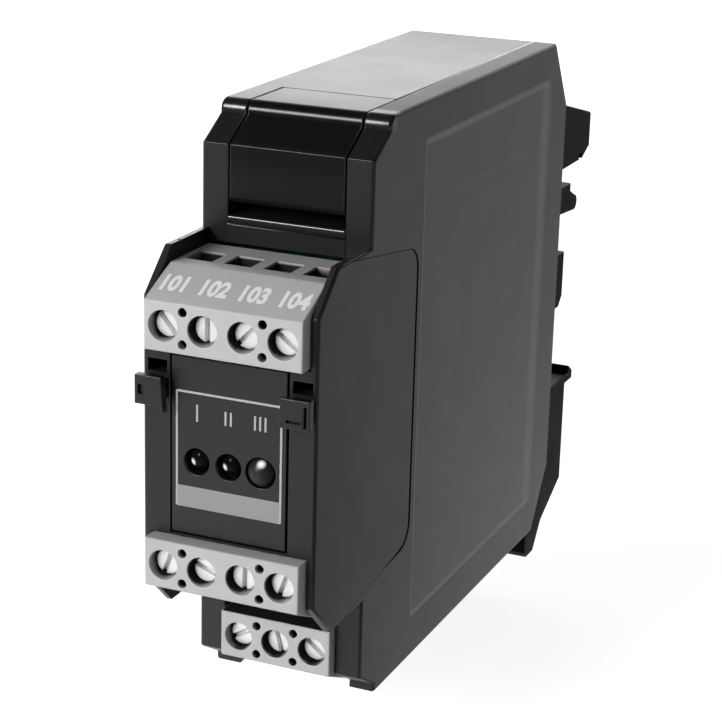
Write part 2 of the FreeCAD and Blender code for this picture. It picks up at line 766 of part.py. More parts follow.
def transformer():
    """Small mains transformer: laminated core with its bobbin standing out of it."""
    start = parts_start + RELAY_WIDTH + RELAY_GAP
    low = -RELAY_GAP / 2 - CORE_LENGTH
    core = box((board_face, board_face + CORE_HEIGHT - BOBBIN_STEP), (start, start + CORE_WIDTH),
               (low, low + CORE_LENGTH))
    bobbin = box((board_face, board_face + CORE_HEIGHT),
                 (start + BOBBIN_STEP, start + CORE_WIDTH - BOBBIN_STEP),
                 (low + 2 * BOBBIN_STEP, low + CORE_LENGTH - 2 * BOBBIN_STEP))
    return core.fuse(bobbin).removeSplitter()


def capacitor(row):
    """Round capacitor can standing on the main board."""
    y = parts_start + RELAY_WIDTH + RELAY_GAP + CAN / 2
    z = inner_height - CAN_MARGIN - CAN / 2 - row * (CAN + RELAY_GAP)
    return Part.makeCylinder(CAN / 2, CAN_HEIGHT, V(board_face, y, z), V(1, 0, 0))


def rail_foot():
    """Foot on the housing's back: rail hook, seat, fingers, ridges and the slider's guide."""
    deep = base_face - FOOT_BASE / 2
    base = box((-foot_half, foot_half), (back, base_face), (foot_low, -foot_low))
    top = rail_half + HOOK_RISE
    groove = RAIL_GAUGE + RAIL_CLEAR
    outline = [(deep, hook_under), (-FIT_CLEAR, hook_under), (-FIT_CLEAR, rail_half + RAIL_CLEAR),
               (groove, rail_half + RAIL_CLEAR), (groove, hook_under),
               (HOOK_REACH, hook_under + HOOK_CATCH * 2), (HOOK_REACH, top - HOOK_SLOPE),
               (base_face + HOOK_SHOULDER, top), (deep, top)]
    hook = prism(outline, (-foot_half, foot_half))
    rim = edges_where(hook, lambda p: p.y > base_face and p.z > rail_half + HOOK_CATCH + SAME)
    pieces = [hook.makeFillet(HOOK_ROUND, rim), rail_seat(deep), slider_guide(deep)]
    for side in (1, -1):
        pieces.append(rail_finger(side, deep))
        pieces.append(foot_ridge(side, deep))
        pieces.append(rod(FOOT_PEG, 0, side * FOOT_PEG_SPACING / 2, (back - WALL, deep)))
    return base.fuse(pieces).removeSplitter()


def rail_seat(deep):
    """Seat plate that bears on the rail's face, on a web with cross ribs."""
    high = hook_under - RAIL_CLEAR
    seat = box((-SEAT_WIDTH / 2, SEAT_WIDTH / 2), (-SEAT_PLATE, 0), (seat_low, high))
    web = box((-SEAT_WEB / 2, SEAT_WEB / 2), (deep, -SEAT_PLATE / 2), (seat_low, high))
    ribs = []
    for z in (seat_low, (seat_low + high - SEAT_WEB) / 2, high - SEAT_WEB):
        ribs.append(box((-SEAT_WIDTH / 2, SEAT_WIDTH / 2), (deep, -SEAT_PLATE / 2), (z, z + SEAT_WEB)))
    return seat.fuse([web] + ribs)


def rail_finger(side, deep):
    """Finger with a round tip that steadies the foot against the rail."""
    x = sorted((side * foot_half, side * (foot_half - FINGER_WIDTH)))
    tip = -FIT_CLEAR - FINGER_TIP
    middle = FINGER_LOW + FINGER_TIP / 4
    outline = [(deep, FINGER_LOW), (tip, middle - FINGER_TIP), (tip, middle + FINGER_TIP),
               (-FINGER_NECK, FINGER_TOP - FINGER_TIP), (-FINGER_NECK, FINGER_TOP), (deep, FINGER_TOP)]
    ball = Part.makeCylinder(FINGER_TIP, FINGER_WIDTH, V(x[0], tip, middle), V(1, 0, 0))
    return prism(outline, x).fuse(ball)


def foot_ridge(side, deep):
    """Raised ridge along one edge of the foot."""
    face = -RIDGE_REACH
    bevel = RIDGE_WIDTH
    outline = [(deep, -RIDGE_LOW), (face - bevel, -RIDGE_LOW), (face, bevel - RIDGE_LOW), (face, RIDGE_TOP),
               (deep, RIDGE_TOP)]
    return prism(outline, sorted((side * foot_half, side * (foot_half - RIDGE_WIDTH))))


def slider_guide(deep):
    """T-shaped guide of the slider, with the peg under its spring."""
    top = seat_low
    stem = box((-GUIDE_STEM / 2, GUIDE_STEM / 2), (base_face, guide_back), (guide_low, top))
    head = box((-GUIDE_HEAD / 2, GUIDE_HEAD / 2), (guide_face, guide_back), (guide_low, top))
    root = box((-GUIDE_STEM / 2, GUIDE_STEM / 2), (deep, guide_face), (foot_low, top))
    peg = box((-spring_half(), spring_half()), (guide_face, spring_back()),
              (guide_low, guide_low + PEG_PLATE))
    return stem.fuse([head, root, peg])


def spring_half():
    """Half the width of the folded spring."""
    return SPRING_RUN / 2 + spring_bend() + SPRING_STRIP / 2


def spring_bend():
    """Bend radius of the spring at the middle of its strip."""
    return (spring_height - SPRING_STRIP) / SPRING_FOLDS / 2


def spring_back():
    """Rear face of the spring and of the peg under it."""
    return guide_back + GUIDE_CLEAR + SPRING_WIDTH


def slider_spring():
    """Folded strip spring: level runs joined by half-round bends."""
    y = (guide_back + GUIDE_CLEAR, spring_back())
    bend = spring_bend()
    half = SPRING_RUN / 2
    pieces = []
    for i in range(SPRING_FOLDS + 1):
        z = spring_low + 2 * bend * i
        pieces.append(box((-half, half), y, (z, z + SPRING_STRIP)))
    for i in range(SPRING_FOLDS):
        side = 1 if i % 2 == 0 else -1
        middle = spring_low + SPRING_STRIP / 2 + bend * (2 * i + 1)
        ring = rod(2 * bend + SPRING_STRIP, side * half, middle, y)
        ring = ring.cut(rod(2 * bend - SPRING_STRIP, side * half, middle, y))
        kept = box((side * half, side * (half + bend + SPRING_STRIP)), y,
                   (middle - 2 * bend, middle + 2 * bend))
        pieces.append(ring.common(kept))
    return pieces[0].fuse(pieces[1:]).removeSplitter()


def rail_slider():
    """Slider under the rail: catch lip, body on the T guide, tapering to the pull lug."""
    heel = -rail_half - SLIDER_HEEL
    low = -half_height - PULL_DROP
    lip_start = RAIL_GAUGE + RAIL_CLEAR
    tip = lip_start + SLIDER_LIP
    under = slider_top - SLIDER_FLANGE
    shelf = foot_low - STOP_CLEAR
    near = back + GUIDE_CLEAR
    pull = near - PULL_THICKNESS
    outline = [(slider_front, slider_top), (slider_front, shelf), (near, shelf), (near, heel - GUIDE_CLEAR),
               (pull, heel - GUIDE_CLEAR - PULL_THICKNESS), (pull, low + PULL_BEVEL),
               (pull + PULL_BEVEL, low), (near + PULL_BEVEL, low),
               (-SLIDER_BACK - HEEL_RUN, heel - HEEL_DROP), (-SLIDER_BACK, heel),
               (-SLIDER_BACK, under), (tip, under), (tip, slider_top),
               (lip_start + SLIDER_NOSE, -rail_half + SLIDER_CATCH), (lip_start, -rail_half + SLIDER_CATCH),
               (lip_start, slider_top)]
    half = SLIDER_WIDTH / 2
    slider = prism(outline, (-half, half))
    stem = GUIDE_STEM / 2 + GUIDE_CLEAR
    head = GUIDE_HEAD / 2 + GUIDE_CLEAR
    end = guide_low - STOP_CLEAR
    room = spring_half() + GUIDE_CLEAR
    back_room = (guide_face, PAST - SLIDER_BACK)
    cuts = [box((-stem, stem), (slider_front - PAST, guide_back), (end, slider_top + PAST)),
            box((-head, head), (guide_face - GUIDE_CLEAR, guide_back + GUIDE_CLEAR),
                (end, slider_top + PAST)),
            box((-room, room), back_room, (end, spring_top)),
            box((-PULL_SLOT_WIDTH / 2, PULL_SLOT_WIDTH / 2),
                (pull + PULL_BEVEL, pull + PULL_BEVEL + PULL_SLOT),
                (low - PAST, low + PULL_SLOT_DEPTH))]
    return slider.cut(cuts).removeSplitter()


def place_terminals(nodes, name, poles, face, base, drives, turn):
    """Adds one plug block with its screws, cages, contacts and header."""
    centres = pole_centres(poles)
    nodes["terminal_block_" + name] = turn(terminal_block(poles, face, base))
    nodes["contact_strips_" + name] = Part.makeCompound([turn(contact_strip(x, face, base)) for x in centres])
    nodes["pin_header_" + name] = turn(header_body(poles, face, base))
    nodes["header_pins_" + name] = Part.makeCompound([turn(header_pin(x, face, base)) for x in centres])
    for i, x in enumerate(centres):
        number = str(i + 1)
        drive = drives[i % len(drives)]
        nodes["clamp_screw_" + name + "_" + number] = turn(clamp_screw(x, face, base, drive))
        nodes["clamp_cage_" + name + "_" + number] = turn(clamp_cage(x, face, base))


def build():
    """Every piece of the module, by name."""
    nodes = {"housing_shell": housing_shell(), "side_cover": side_cover(), "front_cap": front_cap(),
             "front_panel": front_panel(), "blank_cover": blank_cover()}
    place_terminals(nodes, "upper", FRONT_POLES, front_block, front_base, UPPER_DRIVES, lambda s: s)
    place_terminals(nodes, "lower", FRONT_POLES, front_block, front_base, LOWER_DRIVES, flip)
    place_terminals(nodes, "rear", REAR_POLES, rear_block, rear_base, REAR_DRIVES, flip)
    nodes["front_board"] = front_circuit_board()
    nodes["rear_board"] = rear_circuit_board()
    nodes["main_board"] = main_board()
    nodes["light_board"] = light_circuit_board()
    nodes["link_pins"] = link_pins()
    for i, (x, diameter, tip) in enumerate(lights()):
        nodes["indicator_light_" + str(i + 1)] = indicator(x, diameter, tip)
    nodes["relay_upper"] = relay(1)
    nodes["relay_lower"] = relay(-1)
    nodes["transformer"] = transformer()
    for row in range(2):
        nodes["capacitor_" + str(row + 1)] = capacitor(row)
    nodes["rail_foot"] = rail_foot()
    nodes["rail_slider"] = rail_slider()
    nodes["slider_spring"] = slider_spring()
    return nodes


os.makedirs("parts", exist_ok=True)
for node, shape in build().items():
    shape.exportStep("parts/" + node + ".step")
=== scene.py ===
"""Looks of a relay module for a top-hat rail: finishes, prints and a white studio round its frame."""

import json
import logging
import math
from dataclasses import dataclass, replace
from enum import Enum
from functools import cache
from typing import Callable

import bmesh
import bpy
import numpy as np
from mathutils import Matrix, Vector

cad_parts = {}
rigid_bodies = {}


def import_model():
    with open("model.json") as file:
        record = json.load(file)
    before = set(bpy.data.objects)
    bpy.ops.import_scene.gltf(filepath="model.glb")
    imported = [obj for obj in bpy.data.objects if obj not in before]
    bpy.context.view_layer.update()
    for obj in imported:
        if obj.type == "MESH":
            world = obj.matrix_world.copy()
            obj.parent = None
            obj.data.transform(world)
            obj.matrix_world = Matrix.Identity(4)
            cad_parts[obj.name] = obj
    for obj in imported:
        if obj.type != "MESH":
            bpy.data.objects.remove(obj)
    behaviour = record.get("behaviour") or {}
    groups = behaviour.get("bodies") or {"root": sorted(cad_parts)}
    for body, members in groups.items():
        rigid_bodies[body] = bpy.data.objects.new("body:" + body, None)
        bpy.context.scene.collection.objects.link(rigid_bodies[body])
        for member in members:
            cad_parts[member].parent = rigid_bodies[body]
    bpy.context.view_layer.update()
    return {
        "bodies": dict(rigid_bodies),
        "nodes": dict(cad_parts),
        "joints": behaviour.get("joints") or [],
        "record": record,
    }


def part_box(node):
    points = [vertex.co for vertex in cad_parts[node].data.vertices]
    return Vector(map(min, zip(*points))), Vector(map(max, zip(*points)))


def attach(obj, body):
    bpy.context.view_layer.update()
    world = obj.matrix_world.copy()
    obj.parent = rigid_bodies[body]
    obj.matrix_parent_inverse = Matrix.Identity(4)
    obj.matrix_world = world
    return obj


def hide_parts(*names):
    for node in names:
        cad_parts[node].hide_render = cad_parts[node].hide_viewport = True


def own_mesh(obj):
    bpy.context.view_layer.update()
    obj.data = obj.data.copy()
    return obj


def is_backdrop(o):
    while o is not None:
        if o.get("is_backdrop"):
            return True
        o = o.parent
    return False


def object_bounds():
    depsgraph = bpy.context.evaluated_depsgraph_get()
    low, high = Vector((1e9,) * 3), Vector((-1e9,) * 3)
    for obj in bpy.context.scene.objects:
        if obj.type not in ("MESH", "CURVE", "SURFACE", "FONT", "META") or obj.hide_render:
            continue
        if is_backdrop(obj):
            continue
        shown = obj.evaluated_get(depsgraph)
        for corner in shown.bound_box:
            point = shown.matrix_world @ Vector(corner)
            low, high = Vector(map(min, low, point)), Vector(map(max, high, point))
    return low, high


log = logging.getLogger("relay_module")

MM = 0.001
MODULE = "module"

# Points of a copied node, and of a new mesh, that lie closer than this are one point.
MERGE = 2e-6
DOUBLES = 1e-7

# Edges of a copied node that are flatter than the first angle vanish, and those past the second are corners.
FLAT = math.radians(0.4)
SHARP = math.radians(40.0)

# Attribute that keeps how deep a point lies below the outer faces of its piece, in millimetres, less on the
# lit side of screw wells; it masks the painted shade in wells and shafts.
DEPTH = "depth"

Colour = tuple[float, float, float]
Point = tuple[float, float, float]
Span = tuple[float, float]
Feed = bpy.types.NodeSocket | float | tuple[float, ...]

WHOLE: Span = (0.0, 1.0)


def grey(level: float) -> Colour:
    """Neutral colour of a level from 0 to 1."""
    return (level, level, level)


def opaque(colour: Colour) -> tuple[float, float, float, float]:
    """The colour with its alpha."""
    return (*colour, 1.0)


def added(name: str, data: bpy.types.ID) -> bpy.types.Object:
    """Makes an object and puts it into the scene.

    Args:
        name: The object's name.
        data: Its mesh, curve, light or camera.

    Returns:
        The new object.
    """
    thing = bpy.data.objects.new(name, data)
    bpy.context.scene.collection.objects.link(thing)
    return thing


class Slot(Enum):
    """Names of the record's material slots, passed along with each new piece."""

    HOUSING = "housing_plastic"
    CAP = "cap_plastic"
    PANEL = "panel_plastic"
    TERMINAL = "terminal_plastic"
    SCREW = "plated_screw"
    FOOT = "foot_plastic"
    SPRING = "spring_steel"
    INK = "print_ink"


class Row(Enum):
    """Rows of plug terminals."""

    UPPER = ("upper", 4, 101)
    LOWER = ("lower", 4, 201)
    REAR = ("rear", 3, 301)

    def __init__(self, word: str, poles: int, first: int) -> None:
        """Keeps the row's word in node names, its number of poles and its first printed number.

        Args:
            word: The row's word in node names.
            poles: How many screws it has.
            first: The number over its first screw.
        """
        self.word = word
        self.poles = poles
        self.first = first

    @property
    def tails(self) -> list[str]:
        """Ends of the node names of each pole's pieces."""
        return [f"{self.word}_{number}" for number in range(1, self.poles + 1)]


class Wiring:
    """Adds nodes to one shader tree and joins them."""

    def __init__(self, tree: bpy.types.NodeTree) -> None:
        """Keeps the tree."""
        self.tree = tree

    def add(self, kind: str, **settings: object) -> bpy.types.Node:
        """Adds one node.

        Args:
            kind: The node's type name.
            settings: Properties of the node to set.

        Returns:
            The new node.
        """
        node = self.tree.nodes.new(kind)
        for key, value in settings.items():
            setattr(node, key, value)
        return node

    def feed(self, value: Feed, socket: bpy.types.NodeSocket) -> None:
        """Joins a socket to another, or sets a plain value on it.

        Args:
            value: The socket to join, or the value to set.
            socket: The input that takes it.
        """
        if isinstance(value, bpy.types.NodeSocket):
            self.tree.links.new(value, socket)
        else:
            socket.default_value = value

    def fed(self, node: bpy.types.Node, *values: Feed) -> bpy.types.Node:
        """Feeds a node's inputs in order.

        Args:
            node: The node.
            values: Sockets or values for its first inputs.

        Returns:
            The same node.
        """
        for value, socket in zip(values, node.inputs):
            self.feed(value, socket)
        return node

    def maths(self, operation: str, *values: Feed) -> bpy.types.NodeSocket:
        """Result of an operation on numbers."""
        return self.fed(self.add("ShaderNodeMath", operation=operation), *values).outputs["Value"]

    def vectors(self, operation: str, *values: Feed) -> bpy.types.Node:
        """Node with the result of an operation on vectors, as its Vector or its Value."""
        return self.fed(self.add("ShaderNodeVectorMath", operation=operation), *values)

    def parts(self, vector: Feed) -> bpy.types.Node:
        """Node that parts a vector into X, Y and Z."""
        return self.fed(self.add("ShaderNodeSeparateXYZ"), vector)

    def place(self) -> bpy.types.NodeSocket:
        """Place on the object, in metres."""
        return self.add("ShaderNodeTexCoord").outputs["Object"]

    def upwards(self) -> bpy.types.NodeSocket:
        """How far the surface looks up, from -1 to 1."""
        normal = self.add("ShaderNodeNewGeometry").outputs["Normal"]
        return self.parts(normal).outputs["Z"]

    def spread(self, value: Feed, source: Span, target: Span) -> bpy.types.NodeSocket:
        """Moves a value from one range to another and holds it inside.

        Args:
            value: The value.
            source: The values that become the target's ends.
            target: The range of the result.

        Returns:
            The result.
        """
        node = self.add("ShaderNodeMapRange", clamp=True)
        self.feed(value, node.inputs["Value"])
        for word, number in zip(("From Min", "From Max", "To Min", "To Max"), source + target):
            node.inputs[word].default_value = number
        return node.outputs["Result"]

    def blend(self, share: Feed, first: Feed, second: Feed) -> bpy.types.NodeSocket:
        """Mixes two colours; a Mix node keeps its colour sockets behind those for numbers and vectors.

        Args:
            share: How much of the second colour there is, from 0 to 1.
            first: The first colour.
            second: The second colour.

        Returns:
            The mixed colour.
        """
        node = self.add("ShaderNodeMix", data_type="RGBA")
        self.feed(share, node.inputs[0])
        self.feed(first, node.inputs[6])
        self.feed(second, node.inputs[7])
        return node.outputs[2]

    def between(self, share: Feed, first: Feed, second: Feed) -> bpy.types.NodeSocket:
        """Mixes two numbers; a Mix node keeps their sockets behind its two factors.

        Args:
            share: How much of the second number there is, from 0 to 1.
            first: The first number.
            second: The second number.

        Returns:
            The mixed number.
        """
        node = self.add("ShaderNodeMix", data_type="FLOAT")
        self.feed(share, node.inputs[0])
        self.feed(first, node.inputs[2])
        self.feed(second, node.inputs[3])
        return node.outputs[0]

    def choose(self, share: Feed, first: bpy.types.Node, second: bpy.types.Node) -> bpy.types.Node:
        """Node that mixes two shaders by a share of the second."""
        return self.fed(self.add("ShaderNodeMixShader"), share, first.outputs[0], second.outputs[0])

    def noise(self, where: Feed, scale: Feed, detail: float, roughness: float = 0.5) -> bpy.types.NodeSocket:
        """Adds a noise.

        Args:
            where: The place.
            scale: How many features there are in a metre.
            detail: How many finer layers are added.
            roughness: How strong the finer layers are.

        Returns:
            The noise at the place.
        """
        node = self.add("ShaderNodeTexNoise")
        self.feed(where, node.inputs["Vector"])
        self.feed(scale, node.inputs["Scale"])
        node.inputs["Detail"].default_value = detail
        node.inputs["Roughness"].default_value = roughness
        return node.outputs["Fac"]

    def effect(self, group: bpy.types.NodeTree, **values: Feed) -> bpy.types.Node:
        """Places a node group.

        Args:
            group: The group.
            values: Its own values here, named as its inputs.

        Returns:
            The node.
        """
        node = self.add("ShaderNodeGroup", node_tree=group)
        for key, value in values.items():
            self.feed(value, node.inputs[key])
        return node

    def bump(self, height: Feed, strength: float, distance: float) -> bpy.types.NodeSocket:
        """Bends the normal by a height that varies over the surface.

        Args:
            height: The height, from 0 to 1.
            strength: How much of it counts.
            distance: The full height, in metres.

        Returns:
            The bent normal.
        """
        node = self.add("ShaderNodeBump")
        node.inputs["Strength"].default_value = strength
        node.inputs["Distance"].default_value = distance
        self.feed(height, node.inputs["Height"])
        return node.outputs["Normal"]


@dataclass(frozen=True)
class Ramp:
    """Straight rise from one level to another between a start and an end, level beyond them."""

    start: float
    end: float
    low: float
    high: float

    def at(self, wiring: Wiring, value: Feed) -> bpy.types.NodeSocket:
        """The level at a value."""
        return wiring.spread(value, (self.start, self.end), (self.low, self.high))


@dataclass(frozen=True)
class Cloud:
    """Noise over a surface: scale per metre, detail, roughness, and the values that become 0 and 1."""

    scale: float
    detail: float
    roughness: float
    low: float
    high: float

    def share(self, wiring: Wiring, least: float = 0.0) -> bpy.types.NodeSocket:
        """The noise at a place on the object, from the least share to 1."""
        noise = wiring.noise(wiring.place(), self.scale, self.detail, self.roughness)
        return wiring.spread(noise, (self.low, self.high), (least, 1.0))


DRIFT = Cloud(160.0, 3.0, 0.6, 0.3, 0.7)
DUST_SPECKS = Cloud(900.0, 4.0, 0.65, 0.35, 0.8)
TARNISH = Cloud(700.0, 4.0, 0.6, 0.4, 0.75)
INK_SPECKS = Cloud(5200.0, 3.0, 0.6, 0.5, 0.75)
BOARD_PATCHES = Cloud(420.0, 3.0, 0.5, 0.35, 0.65)


class Effects:
    """Shader node groups that several finishes share, each built once."""

    NUMBER = "NodeSocketFloat"
    VECTOR = "NodeSocketVector"
    GRAIN_DETAIL = 2.0
    STREAK_DETAIL = 3.0
    DUSTY_SLOPES: Span = (0.25, 0.95)
    LEAST_DUST = 0.2
    ZONE_RIM: Span = (-0.5, 0.5)
    DARK_DEPTHS: Span = (0.03, 0.4)

    @staticmethod
    def start(name: str, inputs: dict[str, str],
              outputs: dict[str, str]) -> tuple[Wiring, bpy.types.Node, bpy.types.Node]:
        """Opens a new group with named sockets.

        Args:
            name: The group's name.
            inputs: Socket type of each input, by name.
            outputs: Socket type of each output, by name.

        Returns:
            The wiring, the input node and the output node.
        """
        tree = bpy.data.node_groups.new(name, "ShaderNodeTree")
        for direction, sockets in (("INPUT", inputs), ("OUTPUT", outputs)):
            for word, kind in sockets.items():
                tree.interface.new_socket(word, in_out=direction, socket_type=kind)
        wiring = Wiring(tree)
        return wiring, wiring.add("NodeGroupInput"), wiring.add("NodeGroupOutput")

    @staticmethod
    @cache
    def grain() -> bpy.types.NodeTree:
        """Builds spark-eroded mould grain: a fine height, and a mottle that drifts over centimetres.

        Returns:
            The group, with Scale going in, and Height and Mottle coming out.
        """
        number = Effects.NUMBER
        outputs = {"Height": number, "Mottle": number}
        wiring, given, result = Effects.start("mould_grain", {"Scale": number}, outputs)
        fine = wiring.noise(wiring.place(), given.outputs["Scale"], Effects.GRAIN_DETAIL)
        wiring.feed(fine, result.inputs["Height"])
        wiring.feed(DRIFT.share(wiring), result.inputs["Mottle"])
        return wiring.tree

    @staticmethod
    @cache
    def dust() -> bpy.types.NodeTree:
        """Builds thin dust that settles on faces that look up, broken by noise.

        Returns:
            The group, with Amount going in and Mask coming out.
        """
        number = Effects.NUMBER
        wiring, given, result = Effects.start("settled_dust", {"Amount": number}, {"Mask": number})
        level = wiring.spread(wiring.upwards(), Effects.DUSTY_SLOPES, WHOLE)
        settled = wiring.maths("MULTIPLY", level, DUST_SPECKS.share(wiring, Effects.LEAST_DUST))
        wiring.feed(wiring.maths("MULTIPLY", settled, given.outputs["Amount"]), result.inputs["Mask"])
        return wiring.tree

    @staticmethod
    @cache
    def streaks() -> bpy.types.NodeTree:
        """Builds fine drawn or turned marks on metal: noise stretched along one direction, and tarnish.

        Returns:
            The group, with Stretch and Scale going in, and Height and Tarnish coming out.
        """
        number = Effects.NUMBER
        inputs = {"Stretch": Effects.VECTOR, "Scale": number}
        outputs = {"Height": number, "Tarnish": number}
        wiring, given, result = Effects.start("metal_streaks", inputs, outputs)
        long = wiring.vectors("MULTIPLY", wiring.place(), given.outputs["Stretch"]).outputs["Vector"]
        marks = wiring.noise(long, given.outputs["Scale"], Effects.STREAK_DETAIL)
        wiring.feed(marks, result.inputs["Height"])
        wiring.feed(TARNISH.share(wiring), result.inputs["Tarnish"])
        return wiring.tree

    @staticmethod
    @cache
    def zone() -> bpy.types.NodeTree:
        """Builds a zone of a surface: 1 inside a box, falling to 0 over a soft rim.

        Along each direction the share is (half - |place - centre|) / soft + 1/2, held between 0 and 1; the
        mask is the smallest of the three.

        Returns:
            The group, with Centre, Half and Soft going in and Mask coming out.
        """
        inputs = dict.fromkeys(("Centre", "Half", "Soft"), Effects.VECTOR)
        wiring, given, result = Effects.start("surface_zone", inputs, {"Mask": Effects.NUMBER})
        shifted = wiring.vectors("SUBTRACT", wiring.place(), given.outputs["Centre"]).outputs["Vector"]
        folded = wiring.vectors("ABSOLUTE", shifted).outputs["Vector"]
        inside = wiring.vectors("SUBTRACT", given.outputs["Half"], folded).outputs["Vector"]
        shares = wiring.parts(wiring.vectors("DIVIDE", inside, given.outputs["Soft"]).outputs["Vector"])
        across = wiring.maths("MINIMUM", shares.outputs["X"], shares.outputs["Y"])
        least = wiring.maths("MINIMUM", across, shares.outputs["Z"])
        wiring.feed(wiring.spread(least, Effects.ZONE_RIM, WHOLE), result.inputs["Mask"])
        return wiring.tree

    @staticmethod
    @cache
    def recess() -> bpy.types.NodeTree:
        """Builds painted shade in wells and shafts, darker the deeper a point lies, from the depth kept on
        the mesh.

        Returns:
            The group, with Amount going in and Mask coming out.
        """
        number = Effects.NUMBER
        wiring, given, result = Effects.start("painted_recess_shade", {"Amount": number}, {"Mask": number})
        depth = wiring.add("ShaderNodeAttribute", attribute_name=DEPTH).outputs["Fac"]
        share = wiring.spread(depth, Effects.DARK_DEPTHS, WHOLE)
        wiring.feed(wiring.maths("MULTIPLY", share, given.outputs["Amount"]), result.inputs["Mask"])
        return wiring.tree


@dataclass(frozen=True)
class Zone:
    """Zone of a surface, for print or polish, in millimetres: middle, half size, soft rim and strength."""

    y: float
    z: float
    half_y: float
    half_z: float
    soft: float
    strength: float
    half_x: float = 50.0
    soft_z: float | None = None

    def share(self, wiring: Wiring) -> bpy.types.NodeSocket:
        """Places the zone, with a rim of its own along Z where one is given.

        Args:
            wiring: The material's wiring.

        Returns:
            How much of the zone shows at a place, from 0 to its strength.
        """
        centre = (0.0, self.y * MM, self.z * MM)
        half = (self.half_x * MM, self.half_y * MM, self.half_z * MM)
        soft_z = self.soft if self.soft_z is None else self.soft_z
        soft = (self.soft * MM, self.soft * MM, soft_z * MM)
        zone = wiring.effect(Effects.zone(), Centre=centre, Half=half, Soft=soft)
        return wiring.maths("MULTIPLY", zone.outputs["Mask"], self.strength)


@dataclass(frozen=True)
class Finish:
    """Named material round one Principled shader, which each kind of finish wires in its own way."""

    name: str

    def fill(self, wiring: Wiring, shader: bpy.types.Node) -> None:
        """Wires the shader."""
        raise NotImplementedError

    def material(self) -> bpy.types.Material:
        """Finds the material by its name, or builds it.

        Returns:
            The material.
        """
        material = bpy.data.materials.get(self.name)
        if material is None:
            material = bpy.data.materials.new(self.name)
            material.use_nodes = True
            self.fill(Wiring(material.node_tree), material.node_tree.nodes["Principled BSDF"])
        return material


PRINT_GREY = grey(0.34)
WELL_SHADE = grey(0.012)
SHADE_BLACK = grey(0.006)
DUST_GREY: Colour = (0.55, 0.54, 0.52)


@dataclass(frozen=True)
class MouldedPlastic(Finish):
    """Moulded plastic with a fine grain, a drifting sheen, prints, polished zones, settled dust and, where
    given, painted shade in wells, shafts and on faces that look up.
    """

    colour: Colour
    mottled: Colour
    roughness: float
    unevenness: float
    grain_mm: float
    relief_mm: float
    dust: float = 0.0
    specular: float = 0.5
    recess: float = 0.0
    top_shade: float = 0.0
    prints: tuple[Zone, ...] = ()
    polish: tuple[Zone, ...] = ()
    grain_strength: float = 0.6
    shaded_slopes: Span = (0.85, 0.97)

    def fill(self, wiring: Wiring, shader: bpy.types.Node) -> None:
        """Wires grain, mottle, prints, painted shade and dust into the shader.

        Args:
            wiring: The material's wiring.
            shader: Its Principled shader.
        """
        grain = wiring.effect(Effects.grain(), Scale=1.0 / (2.0 * self.grain_mm * MM))
        mottle = grain.outputs["Mottle"]
        colour = wiring.blend(mottle, opaque(self.colour), opaque(self.mottled))
        low, high = self.roughness - self.unevenness, self.roughness + self.unevenness
        rough = wiring.spread(mottle, WHOLE, (low, high))
        for mark in self.prints:
            colour = wiring.blend(mark.share(wiring), colour, opaque(PRINT_GREY))
        for zone in self.polish:
            rough = wiring.maths("SUBTRACT", rough, zone.share(wiring))
        # Painted shade: darker and duller the deeper a point lies in a well or shaft.
        if self.recess > 0.0:
            mask = wiring.effect(Effects.recess(), Amount=self.recess).outputs["Mask"]
            colour = wiring.blend(mask, colour, opaque(WELL_SHADE))
            rough = wiring.maths("MAXIMUM", rough, mask)
        # Painted shade on faces that look up.
        if self.top_shade > 0.0:
            mask = wiring.spread(wiring.upwards(), self.shaded_slopes, (0.0, self.top_shade))
            colour = wiring.blend(mask, colour, opaque(SHADE_BLACK))
        if self.dust > 0.0:
            mask = wiring.effect(Effects.dust(), Amount=self.dust).outputs["Mask"]
            colour = wiring.blend(mask, colour, opaque(DUST_GREY))
        wiring.feed(colour, shader.inputs["Base Color"])
        wiring.feed(rough, shader.inputs["Roughness"])
        shader.inputs["Specular IOR Level"].default_value = self.specular
        normal = wiring.bump(grain.outputs["Height"], self.grain_strength, self.relief_mm * MM)
        wiring.feed(normal, shader.inputs["Normal"])


@dataclass(frozen=True)
class PlatedMetal(Finish):
    """Plated metal with fine streaks, cloudy tarnish and, where given, a dull pale haze."""

    colour: Colour
    tarnish: Colour
    roughness: float
    stretch: Point
    relief_mm: float
    haze: float = 0.0
    dulling: float = 0.14
    streak_scale: float = 2600.0
    streak_strength: float = 0.5

    def fill(self, wiring: Wiring, shader: bpy.types.Node) -> None:
        """Wires streaks, tarnish and haze into the shader.

        Args:
            wiring: The material's wiring.
            shader: Its Principled shader.
        """
        streaks = wiring.effect(Effects.streaks(), Stretch=self.stretch, Scale=self.streak_scale)
        cloud = streaks.outputs["Tarnish"]
        colour = wiring.blend(cloud, opaque(self.colour), opaque(self.tarnish))
        wiring.feed(colour, shader.inputs["Base Color"])
        rough = wiring.spread(cloud, WHOLE, (self.roughness, self.roughness + self.dulling))
        wiring.feed(rough, shader.inputs["Roughness"])
        if self.haze > 0.0:
            metal = wiring.spread(cloud, WHOLE, (1.0 - self.haze / 2.0, 1.0 - self.haze))
            wiring.feed(metal, shader.inputs["Metallic"])
        else:
            shader.inputs["Metallic"].default_value = 1.0
        normal = wiring.bump(streaks.outputs["Height"], self.streak_strength, self.relief_mm * MM)
        wiring.feed(normal, shader.inputs["Normal"])


